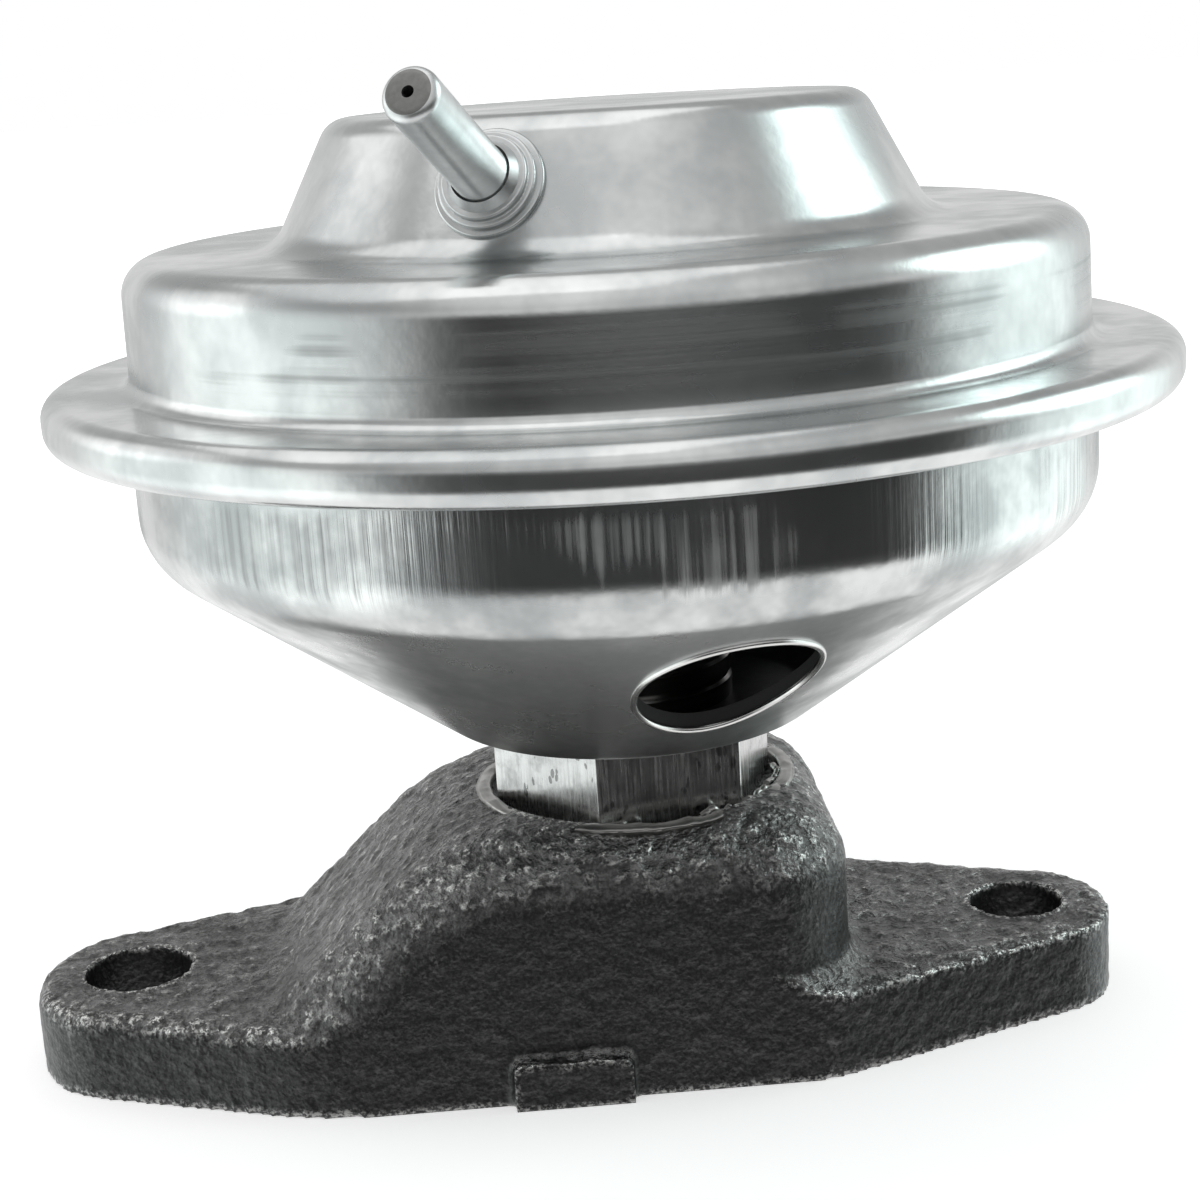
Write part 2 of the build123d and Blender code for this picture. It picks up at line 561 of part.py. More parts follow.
with BuildPart() as packing_retainer:
    with BuildSketch(Plane.XZ):
        with BuildLine():
            Polyline(
                (SPIGOT_RADIUS, clamp_top_z),
                (clamp_radius - RETAINER_GROOVE_DEPTH, clamp_top_z),
                (clamp_radius - RETAINER_GROOVE_DEPTH, clamp_top_z + RETAINER_GROOVE_HEIGHT),
                (clamp_radius, clamp_top_z + RETAINER_GROOVE_HEIGHT),
                (clamp_radius, spigot_top_z + RETAINER_TOP_THICKNESS),
                (guide_hole_radius, spigot_top_z + RETAINER_TOP_THICKNESS),
                (guide_hole_radius, spigot_top_z),
                (SPIGOT_RADIUS, spigot_top_z),
                close=True,
            )
        make_face()
    revolve(axis=Axis.Z)
    chamfer(edges().group_by(Axis.Z)[-1].sort_by(SortBy.RADIUS)[-1], CLAMP_CHAMFER)

packing_retainer.part.label = "packing_retainer"
export_step(packing_retainer.part, "parts/packing_retainer.step")

# ---------------------------------------------------------------- domed cover, hemmed round the rim
with BuildPart() as upper_cover:
    with BuildSketch(Plane.XZ):
        with BuildLine():
            FilletPolyline(
                (0, dome_top_z),
                (dome_top_radius, dome_top_z),
                (dome_base_radius, shoulder_z),
                (wall_top_radius, shoulder_z),
                (COVER_WALL_RADIUS, rim_top_z),
                (rim_radius, rim_top_z),
                (rim_radius, hem_bottom_z),
                (hem_inner_radius, hem_bottom_z),
                radius=[
                    DOME_CORNER_RADIUS,
                    DOME_FOOT_RADIUS,
                    COVER_SHOULDER_RADIUS,
                    WALL_FOOT_RADIUS,
                    RIM_ROLL_RADIUS,
                    RIM_ROLL_RADIUS,
                ],
            )
            offset(amount=SHELL_GAUGE, side=Side.RIGHT)
        make_face()
    revolve(axis=Axis.Z)
    # Round pad raised on the dome's side, and the hole for the nipple.
    with BuildSketch(nipple_plane.offset(-SHELL_GAUGE / 2)):
        Circle(collar_radius + NIPPLE_PAD_MARGIN)
    extrude(amount=SHELL_GAUGE / 2 + NIPPLE_PAD_RISE)
    with BuildSketch(nipple_plane.offset(-2 * NIPPLE_TAIL)):
        Circle(root_radius)
    extrude(amount=3 * NIPPLE_TAIL, mode=Mode.SUBTRACT)

upper_cover.part.label = "upper_cover"
export_step(upper_cover.part, "parts/upper_cover.step")

# ---------------------------------------------------------------- hose nipple and its collar
with BuildPart() as vacuum_nipple:
    with BuildSketch(nipple_section_plane):
        with BuildLine():
            FilletPolyline(
                (0, -NIPPLE_TAIL),
                (root_radius, -NIPPLE_TAIL),
                (root_radius, hose_stop_z - NIPPLE_ROOT_STEP),
                (NIPPLE_RADIUS, hose_stop_z),
                (NIPPLE_RADIUS, NIPPLE_LENGTH),
                (0, NIPPLE_LENGTH),
                radius=[0, 0, 0, NIPPLE_TIP_ROUND],
            )
            Line((0, NIPPLE_LENGTH), (0, -NIPPLE_TAIL))
        make_face()
    revolve(axis=nipple_line)
    with BuildSketch(nipple_plane.offset(-NIPPLE_TAIL)):
        Circle(NIPPLE_RADIUS - NIPPLE_WALL)
    extrude(amount=NIPPLE_TAIL + NIPPLE_LENGTH - ORIFICE_LENGTH, mode=Mode.SUBTRACT)
    with BuildSketch(nipple_plane):
        Circle(ORIFICE_RADIUS)
    extrude(amount=NIPPLE_LENGTH, mode=Mode.SUBTRACT)

vacuum_nipple.part.label = "vacuum_nipple"
export_step(vacuum_nipple.part, "parts/vacuum_nipple.step")

with BuildPart() as nipple_collar:
    with BuildSketch(nipple_section_plane):
        with BuildLine():
            FilletPolyline(
                (root_radius, NIPPLE_PAD_RISE),
                (collar_radius, NIPPLE_PAD_RISE),
                (collar_radius, collar_step_z),
                (collar_step_radius, collar_step_z),
                (collar_step_radius, collar_top_z),
                (root_radius + COLLAR_FLARE_WIDTH, collar_top_z),
                (root_radius, hose_stop_z),
                radius=[0, COLLAR_EDGE_ROUND, COLLAR_EDGE_ROUND / 2, COLLAR_EDGE_ROUND, 0],
            )
            Line((root_radius, hose_stop_z), (root_radius, NIPPLE_PAD_RISE))
        make_face()
    revolve(axis=nipple_line)

nipple_collar.part.label = "nipple_collar"
export_step(nipple_collar.part, "parts/nipple_collar.step")

# ---------------------------------------------------------------- rubber diaphragm
with BuildPart() as diaphragm:
    with BuildSketch(Plane.XZ):
        with BuildLine():
            FilletPolyline(
                (STEM_NECK_RADIUS + DIAPHRAGM_HOLE_CLEARANCE, centre_z),
                (flat_radius, centre_z),
                (crest_radius, rim_z + CONVOLUTION_RISE),
                (edge_radius, rim_z),
                (clamped_radius, rim_z),
                radius=[CONVOLUTION_FOOT_RADIUS, CONVOLUTION_CREST_RADIUS, CONVOLUTION_EDGE_RADIUS],
            )
            offset(amount=DIAPHRAGM_GAUGE, side=Side.LEFT)
        make_face()
    revolve(axis=Axis.Z)

diaphragm.part.label = "diaphragm"
export_step(diaphragm.part, "parts/diaphragm.step")

# ---------------------------------------------------------------- plates that grip the diaphragm's centre
with BuildPart() as upper_plate:
    with BuildSketch(Plane.XZ):
        with BuildLine():
            FilletPolyline(
                (STEM_NECK_RADIUS, washer_z),
                (upper_plate_radius - PLATE_GAUGE, washer_z),
                (upper_plate_radius - PLATE_GAUGE, upper_plate_z + UPPER_PLATE_WALL),
                radius=[PLATE_BEND],
            )
            offset(amount=PLATE_GAUGE, side=Side.RIGHT)
        make_face()
    revolve(axis=Axis.Z)

upper_plate.part.label = "upper_plate"
export_step(upper_plate.part, "parts/upper_plate.step")

with BuildPart() as lower_plate:
    with BuildSketch(Plane.XZ):
        with BuildLine():
            FilletPolyline(
                (STEM_NECK_RADIUS, centre_z),
                (lower_plate_radius, centre_z),
                (lower_plate_radius, lower_plate_z - LOWER_PLATE_LIP),
                radius=[PLATE_GAUGE + PLATE_BEND],
            )
            offset(amount=PLATE_GAUGE, side=Side.RIGHT)
        make_face()
    revolve(axis=Axis.Z)

lower_plate.part.label = "lower_plate"
export_step(lower_plate.part, "parts/lower_plate.step")

with BuildPart() as stem_spacer:
    with BuildSketch(Plane.XY.offset(spacer_z)):
        Circle(SPACER_RADIUS)
        Circle(STEM_NECK_RADIUS, mode=Mode.SUBTRACT)
    extrude(amount=SPACER_HEIGHT)
    chamfer(edges().group_by(Axis.Z)[0].sort_by(SortBy.RADIUS)[-1], SPACER_CHAMFER)

stem_spacer.part.label = "stem_spacer"
export_step(stem_spacer.part, "parts/stem_spacer.step")

with BuildPart() as plate_washer:
    with BuildSketch(Plane.XY.offset(washer_z)):
        Circle(washer_radius)
        Circle(STEM_NECK_RADIUS, mode=Mode.SUBTRACT)
    extrude(amount=WASHER_HEIGHT)
    fillet(edges().group_by(Axis.Z)[-1].sort_by(SortBy.RADIUS)[-1], WASHER_ROUND)

plate_washer.part.label = "plate_washer"
export_step(plate_washer.part, "parts/plate_washer.step")

# ---------------------------------------------------------------- stem, riveted over the washer at its top
with BuildPart() as valve_stem:
    with BuildSketch(Plane.XZ):
        with BuildLine():
            Polyline(
                (0, stem_tail_z),
                (STEM_TAIL_RADIUS, stem_tail_z),
                (STEM_TAIL_RADIUS, pintle_top_z),
                (STEM_RADIUS, pintle_top_z),
                (STEM_RADIUS, spacer_z),
                (STEM_NECK_RADIUS, spacer_z),
                (STEM_NECK_RADIUS, rivet_z),
                (rivet_radius, rivet_z),
            )
            RadiusArc((rivet_radius, rivet_z), (0, rivet_z + RIVET_HEIGHT), -rivet_crown_radius)
            Line((0, rivet_z + RIVET_HEIGHT), (0, stem_tail_z))
        make_face()
    revolve(axis=Axis.Z)

valve_stem.part.label = "valve_stem"
export_step(valve_stem.part, "parts/valve_stem.step")

with BuildPart() as pintle:
    with BuildSketch(Plane.XZ):
        with BuildLine():
            Polyline(
                (0, pintle_tip_z),
                (PINTLE_TIP_RADIUS, pintle_tip_z),
                (needle_radius, cone_height(needle_radius)),
                (pintle_radius, cone_height(pintle_radius)),
                (pintle_radius, pintle_top_z - PINTLE_CHAMFER),
                (pintle_radius - PINTLE_CHAMFER, pintle_top_z),
                (STEM_TAIL_RADIUS, pintle_top_z),
                (STEM_TAIL_RADIUS, stem_tail_z),
                (0, stem_tail_z),
                close=True,
            )
        make_face()
    revolve(axis=Axis.Z)

pintle.part.label = "pintle"
export_step(pintle.part, "parts/pintle.step")

# Dished shield that keeps soot off the bushing, resting on the pintle.
with BuildPart() as soot_deflector:
    with BuildSketch(Plane.XZ):
        with BuildLine():
            FilletPolyline(
                (STEM_RADIUS, pintle_top_z + DEFLECTOR_GAUGE),
                (DEFLECTOR_RADIUS - DEFLECTOR_DISH, pintle_top_z + DEFLECTOR_GAUGE),
                (DEFLECTOR_RADIUS, deflector_rim_z),
                radius=[DEFLECTOR_BEND],
            )
            offset(amount=DEFLECTOR_GAUGE, side=Side.RIGHT)
        make_face()
    revolve(axis=Axis.Z)

soot_deflector.part.label = "soot_deflector"
export_step(soot_deflector.part, "parts/soot_deflector.step")

# ---------------------------------------------------------------- return spring, ground flat at both ends
with BuildPart() as return_spring:
    with BuildLine() as coil_path:
        Helix(
            pitch=spring_pitch,
            height=spring_pitch * (SPRING_TURNS + SPRING_OVERRUN),
            radius=spring_radius,
            center=(0, 0, washer_z - spring_pitch * SPRING_OVERRUN / 2),
        )
    with BuildSketch(Plane(origin=coil_path.line @ 0, z_dir=coil_path.line % 0)):
        Circle(SPRING_WIRE_RADIUS)
    sweep(is_frenet=True)
    with BuildSketch(Plane.XY.offset(washer_z)):
        Circle(2 * spring_radius)
    extrude(amount=spring_top_z - washer_z, mode=Mode.INTERSECT)

return_spring.part.label = "return_spring"
export_step(return_spring.part, "parts/return_spring.step")

# Stamped ring under the dome, whose lip centres the spring.
with BuildPart() as spring_seat:
    with BuildSketch(Plane.XZ):
        with BuildLine():
            FilletPolyline(
                (spring_seat_radius, dome_inside_z),
                (seat_lip_radius - SPRING_SEAT_GAUGE, dome_inside_z),
                (seat_lip_radius - SPRING_SEAT_GAUGE, dome_inside_z - SPRING_SEAT_DEPTH),
                radius=[2 * SPRING_SEAT_GAUGE],
            )
            offset(amount=SPRING_SEAT_GAUGE, side=Side.LEFT)
        make_face()
    revolve(axis=Axis.Z)

spring_seat.part.label = "spring_seat"
export_step(spring_seat.part, "parts/spring_seat.step")
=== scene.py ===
"""Looks of a vacuum-lift exhaust gas recirculation valve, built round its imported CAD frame.

The valve is a domed diaphragm housing of zinc-plated sheet on a machined hexagon, which screws into a
sand-cast iron base with two ears. Lengths in the classes are millimetres and the frame's are metres.
"""

from __future__ import annotations

import logging
import math
from dataclasses import dataclass, field
from enum import Enum

import bmesh
import bpy
from mathutils import Matrix, Vector

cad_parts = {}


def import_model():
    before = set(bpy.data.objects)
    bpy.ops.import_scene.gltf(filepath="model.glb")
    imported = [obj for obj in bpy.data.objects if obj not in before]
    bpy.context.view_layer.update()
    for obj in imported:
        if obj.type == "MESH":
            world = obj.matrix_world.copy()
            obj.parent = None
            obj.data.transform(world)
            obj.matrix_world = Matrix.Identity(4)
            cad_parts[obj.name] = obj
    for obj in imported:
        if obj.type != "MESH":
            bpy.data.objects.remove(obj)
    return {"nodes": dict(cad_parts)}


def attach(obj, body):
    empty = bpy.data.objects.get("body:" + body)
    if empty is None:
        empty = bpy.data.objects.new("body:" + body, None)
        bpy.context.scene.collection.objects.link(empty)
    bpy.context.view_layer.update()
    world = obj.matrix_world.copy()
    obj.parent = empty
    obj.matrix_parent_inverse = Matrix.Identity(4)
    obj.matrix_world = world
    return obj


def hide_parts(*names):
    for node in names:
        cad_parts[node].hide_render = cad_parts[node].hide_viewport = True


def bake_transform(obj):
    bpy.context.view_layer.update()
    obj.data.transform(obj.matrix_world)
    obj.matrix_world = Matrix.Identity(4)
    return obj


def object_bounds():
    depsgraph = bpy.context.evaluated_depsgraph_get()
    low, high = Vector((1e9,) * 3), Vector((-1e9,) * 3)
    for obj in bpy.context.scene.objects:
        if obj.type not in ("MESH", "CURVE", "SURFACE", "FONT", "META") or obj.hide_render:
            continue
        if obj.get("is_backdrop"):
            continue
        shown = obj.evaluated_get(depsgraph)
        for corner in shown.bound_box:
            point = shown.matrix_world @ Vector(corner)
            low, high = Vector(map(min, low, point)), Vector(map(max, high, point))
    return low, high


LOG = logging.getLogger("egr_valve")
MM = 0.001
# Corners of a CAD mesh, or of a turned one, that lie closer than this are one corner, mm.
SPLIT_GAP = 0.002
TURNED_GAP = 0.001
# Faces that meet at less than the first shade as one, and edges over the second are broken, degrees.
SMOOTH_ANGLE = 28.0
BREAK_ANGLE = 32.0
Socket = bpy.types.NodeSocket
Tree = bpy.types.NodeTree
Object = bpy.types.Object
Outline = list[tuple[float, float]] | tuple[tuple[float, float], ...]


class Body(Enum):
    """The two bodies of the frame."""

    HOUSING = "housing"
    STEM = "stem"


# ---------------------------------------------------------------- small helpers
def linear(hex_code: str) -> tuple[float, float, float, float]:
    """Turns an sRGB hex colour into the linear colour that a shader socket takes.

    Args:
        hex_code: Six hex digits, such as "8a8a86".

    Returns:
        Linear red, green and blue, and an alpha of 1.
    """
    parts = [int(hex_code[i : i + 2], 16) / 255 for i in (0, 2, 4)]
    r, g, b = (c / 12.92 if c <= 0.04045 else ((c + 0.055) / 1.055) ** 2.4 for c in parts)
    return (r, g, b, 1.0)


def per_mm(size: float) -> float:
    """Texture scale, in features per metre, of a pattern whose features are this many millimetres."""
    return 1.0 / (size * MM)


def add_node(tree: Tree, kind: str, inputs: dict | None = None, **settings) -> bpy.types.Node:
    """Adds one node with its settings, values and links.

    Args:
        tree: The tree that takes the node.
        kind: The node's type name.
        inputs: Socket name or number to a value, or to the output socket that feeds it.
        **settings: Properties of the node itself, such as operation.

    Returns:
        The new node.
    """
    node = tree.nodes.new(kind)
    for name, value in settings.items():
        setattr(node, name, value)
    for key, value in (inputs or {}).items():
        if isinstance(value, bpy.types.NodeSocket):
            tree.links.new(value, node.inputs[key])
        else:
            node.inputs[key].default_value = value
    return node


def uprightness(tree: Tree) -> Socket:
    """1 on walls that stand along Z, and 0 on faces that lie flat or slope."""
    normal = add_node(tree, "ShaderNodeNewGeometry").outputs["Normal"]
    up = add_node(tree, "ShaderNodeSeparateXYZ", {0: normal}).outputs["Z"]
    flatness = add_node(tree, "ShaderNodeMath", {0: up}, operation="ABSOLUTE").outputs[0]
    return add_node(
        tree,
        "ShaderNodeMapRange",
        {0: flatness, 1: 0.15, 2: 0.45, 3: 1.0, 4: 0.0},
        interpolation_type="SMOOTHSTEP",
    ).outputs[0]


def round_the_axis(tree: Tree, place: Socket, marks: float, length: float) -> Socket:
    """Coordinates for streaks that run up a wall round the Z axis.

    Args:
        tree: The material's tree.
        place: Object coordinates, in metres.
        marks: Streaks in a full turn.
        length: Length of a streak, mm.

    Returns:
        A vector that grows by one across each streak and along each streak's length.
    """
    axes = add_node(tree, "ShaderNodeSeparateXYZ", {0: place})
    turn = add_node(
        tree, "ShaderNodeMath", {0: axes.outputs[1], 1: axes.outputs[0]}, operation="ARCTAN2"
    ).outputs[0]
    across = add_node(
        tree, "ShaderNodeMath", {0: turn, 1: marks / math.tau}, operation="MULTIPLY"
    ).outputs[0]
    along = add_node(
        tree, "ShaderNodeMath", {0: axes.outputs[2], 1: per_mm(length)}, operation="MULTIPLY"
    ).outputs[0]
    return add_node(tree, "ShaderNodeCombineXYZ", {0: across, 2: along}).outputs[0]


# ---------------------------------------------------------------- finishes
@dataclass(frozen=True)
class Finish:
    """A surface finish, made once as a Blender material.

    Attributes:
        name: What the material really is.
        slot: The frame's material slot that it belongs to; not used.
        colour: Its main colour, sRGB hex.
        metallic: 1 for bare metal, 0 for the rest.
        roughness: Width of its reflections.
    """

    name: str
    slot: str
    colour: str
    metallic: float
    roughness: float

    def material(self) -> bpy.types.Material:
        """Returns the material, which the first call makes."""
        return bpy.data.materials.get(self.name) or self.build()

    def build(self) -> bpy.types.Material:
        """Makes the material: a Principled shader in the finish's colour, then its pattern."""
        made = bpy.data.materials.new(self.name)
        made.use_nodes = True
        tree = made.node_tree
        tree.nodes.clear()
        values = {"Base Color": linear(self.colour), "Metallic": self.metallic, "Roughness": self.roughness}
        shader = add_node(tree, "ShaderNodeBsdfPrincipled", values)
        add_node(tree, "ShaderNodeOutputMaterial", {"Surface": shader.outputs[0]})
        place = add_node(tree, "ShaderNodeTexCoord").outputs["Object"]
        for name, socket in self.pattern(tree, place).items():
            tree.links.new(socket, shader.inputs[name])
        return made

    def pattern(self, tree: Tree, place: Socket) -> dict[str, Socket]:
        """The finish's own pattern.

        Args:
            tree: The material's tree.
            place: Object coordinates, in metres.

        Returns:
            Each of the shader's inputs that the pattern drives, and the socket that drives it.
        """
        raise NotImplementedError


class Working(Enum):
    """How a shell was worked, which sets the way that its fine lines run."""

    DRAWN = "lines run up the wall"
    SPUN = "lines run round the axis"


@dataclass(frozen=True)
class ZincPlatedSheet(Finish):
    """Pressed sheet under bright zinc: satin, cloudy, a little uneven, with the lines of its working.

    Attributes:
        working: How it was formed.
        shade: Colour of the duller clouds.
        cloud: Size of the clouds, mm.
        peel: Size of the plating's orange peel, mm.
        peel_depth: Height of the orange peel, mm.
        wave: Size of the sheet's unevenness, mm.
        wave_depth: Height of the unevenness, mm.
        line_depth: Height of the forming lines, mm.
        line_span: Heights between which they show, mm.
        line_matt: How much duller the lines are than the plating between them.
        line_tone: How much darker they are.
        line_zone: Size of the areas where they are strong or faint, mm.
        line_fade: They fade in and out over this distance each side of the span's ends, mm.
        line_colour: Their colour, sRGB hex.
        streaks: Lines in a full turn, where they run up the wall.
        streak_length: Length of each of those, mm.
        ring_length: Length of a line that runs round the axis, mm.
        ring_width: Width of each of those, mm.
        slope_matt: How much duller the stretched slopes are than the walls.
        speck: Spacing of the dark specks, mm.
        speck_colour: Their colour, sRGB hex.
    """

    working: Working = Working.SPUN
    shade: str = "b4b7b7"
    cloud: float = 11.0
    peel: float = 0.8
    peel_depth: float = 0.009
    wave: float = 9.0
    wave_depth: float = 0.022
    line_depth: float = 0.016
    line_span: tuple[float, float] = (64.0, 69.5)
    line_matt: float = 0.14
    line_tone: float = 0.6
    line_zone: float = 16.0
    line_fade: float = 1.5
    line_colour: str = "7e8180"
    streaks: float = 430.0
    streak_length: float = 30.0
    ring_length: float = 70.0
    ring_width: float = 0.9
    slope_matt: float = 0.0
    speck: float = 3.4
    speck_colour: str = "3c3c3b"

    def pattern(self, tree: Tree, place: Socket) -> dict[str, Socket]:
        """Clouds, specks, unevenness, orange peel and forming lines."""
        cloud = add_node(
            tree,
            "ShaderNodeTexNoise",
            {"Vector": place, "Scale": per_mm(self.cloud), "Detail": 4.0, "Roughness": 0.6},
        ).outputs[0]
        cloud_share = add_node(
            tree, "ShaderNodeMapRange", {0: cloud, 1: 0.35, 2: 0.68}, interpolation_type="SMOOTHSTEP"
        ).outputs[0]
        plate = add_node(
            tree,
            "ShaderNodeMix",
            {0: cloud_share, 6: linear(self.shade), 7: linear(self.colour)},
            data_type="RGBA",
        ).outputs[2]
        cells = add_node(
            tree, "ShaderNodeTexVoronoi", {"Vector": place, "Scale": per_mm(self.speck)}
        ).outputs[0]
        reach_noise = add_node(
            tree,
            "ShaderNodeTexNoise",
            {"Vector": place, "Scale": per_mm(1.8 * self.speck), "Detail": 1.0, "Roughness": 0.5},
        ).outputs[0]
        reach = add_node(
            tree,
            "ShaderNodeMapRange",
            {0: reach_noise, 1: 0.58, 2: 0.78, 4: 0.06},
            interpolation_type="SMOOTHSTEP",
        ).outputs[0]
        speck_below = add_node(
            tree, "ShaderNodeMath", {0: cells, 1: reach}, operation="LESS_THAN"
        ).outputs[0]
        speck = add_node(tree, "ShaderNodeMath", {0: speck_below, 1: 0.8}, operation="MULTIPLY").outputs[0]
        wave_noise = add_node(
            tree,
            "ShaderNodeTexNoise",
            {"Vector": place, "Scale": per_mm(self.wave), "Detail": 1.0, "Roughness": 0.5},
        ).outputs[0]
        wave = add_node(
            tree,
            "ShaderNodeBump",
            {"Height": wave_noise, "Distance": self.wave_depth * MM, "Strength": 1.0},
        ).outputs[0]
        peel_noise = add_node(
            tree,
            "ShaderNodeTexNoise",
            {"Vector": place, "Scale": per_mm(self.peel), "Detail": 2.0, "Roughness": 0.5},
        ).outputs[0]
        peel = add_node(
            tree,
            "ShaderNodeBump",
            {"Height": peel_noise, "Distance": self.peel_depth * MM, "Strength": 1.0, "Normal": wave},
        ).outputs[0]
        gloss = add_node(
            tree,
            "ShaderNodeMapRange",
            {0: cloud, 1: 0.3, 2: 0.7, 3: self.roughness + 0.07, 4: self.roughness - 0.03},
            interpolation_type="SMOOTHSTEP",
        ).outputs[0]
        matt = add_node(
            tree, "ShaderNodeMath", {0: 1.0, 1: uprightness(tree)}, operation="SUBTRACT"
        ).outputs[0]
        lines = self.lines(tree, place)
        worked = add_node(
            tree, "ShaderNodeMapRange", {0: lines, 1: 0.34, 2: 0.7}, interpolation_type="SMOOTHSTEP"
        ).outputs[0]
        line_share = add_node(
            tree, "ShaderNodeMath", {0: worked, 1: self.line_tone}, operation="MULTIPLY"
        ).outputs[0]
        plate = add_node(
            tree,
            "ShaderNodeMix",
            {0: line_share, 6: plate, 7: linear(self.line_colour)},
            data_type="RGBA",
        ).outputs[2]
        slope_dullness = add_node(
            tree, "ShaderNodeMath", {0: matt, 1: self.slope_matt}, operation="MULTIPLY"
        ).outputs[0]
        dull = add_node(
            tree,
            "ShaderNodeMath",
            {0: worked, 1: self.line_matt, 2: slope_dullness},
            operation="MULTIPLY_ADD",
        ).outputs[0]
        base_color = add_node(
            tree, "ShaderNodeMix", {0: speck, 6: plate, 7: linear(self.speck_colour)}, data_type="RGBA"
        ).outputs[2]
        roughness = add_node(tree, "ShaderNodeMath", {0: gloss, 1: dull}, operation="ADD").outputs[0]
        normal = add_node(
            tree,
            "ShaderNodeBump",
            {"Height": lines, "Distance": self.line_depth * MM, "Strength": 1.0, "Normal": peel},
        ).outputs[0]
        return {"Base Color": base_color, "Roughness": roughness, "Normal": normal}

    def lines(self, tree: Tree, place: Socket) -> Socket:
        """Height of the forming lines, from 0 to 1.

        Args:
            tree: The material's tree.
            place: Object coordinates, in metres.

        Returns:
            A socket that is 0 outside the span of heights.
        """
        if self.working is Working.DRAWN:
            along, detail = round_the_axis(tree, place, self.streaks, self.streak_length), 3.0
        else:
            scale = (per_mm(self.ring_length), per_mm(self.ring_length), per_mm(self.ring_width))
            level = add_node(tree, "ShaderNodeMapping", {"Vector": place, "Scale": scale}).outputs[0]
            along, detail = level, 2.0
        inputs = {"Vector": along, "Scale": 1.0, "Detail": detail, "Roughness": 0.6}
        line = add_node(tree, "ShaderNodeTexNoise", inputs).outputs[0]
        zone_noise = add_node(
            tree,
            "ShaderNodeTexNoise",
            {"Vector": place, "Scale": per_mm(self.line_zone), "Detail": 2.0, "Roughness": 0.5},
        ).outputs[0]
        zone = add_node(
            tree,
            "ShaderNodeMapRange",
            {0: zone_noise, 1: 0.38, 2: 0.6, 3: 0.2},
            interpolation_type="SMOOTHSTEP",
        ).outputs[0]
        height = add_node(tree, "ShaderNodeSeparateXYZ", {0: place}).outputs[2]
        low, high = (limit * MM for limit in self.line_span)
        fade = self.line_fade * MM
        over = add_node(
            tree,
            "ShaderNodeMapRange",
            {0: height, 1: low - fade, 2: low + fade},
            interpolation_type="SMOOTHSTEP",
        ).outputs[0]
        under = add_node(
            tree,
            "ShaderNodeMapRange",
            {0: height, 1: high - fade, 2: high + fade, 3: 1.0, 4: 0.0},
            interpolation_type="SMOOTHSTEP",
        ).outputs[0]
        within = add_node(tree, "ShaderNodeMath", {0: over, 1: under}, operation="MULTIPLY").outputs[0]
        strength = add_node(tree, "ShaderNodeMath", {0: within, 1: zone}, operation="MULTIPLY").outputs[0]
        return add_node(tree, "ShaderNodeMath", {0: strength, 1: line}, operation="MULTIPLY").outputs[0]


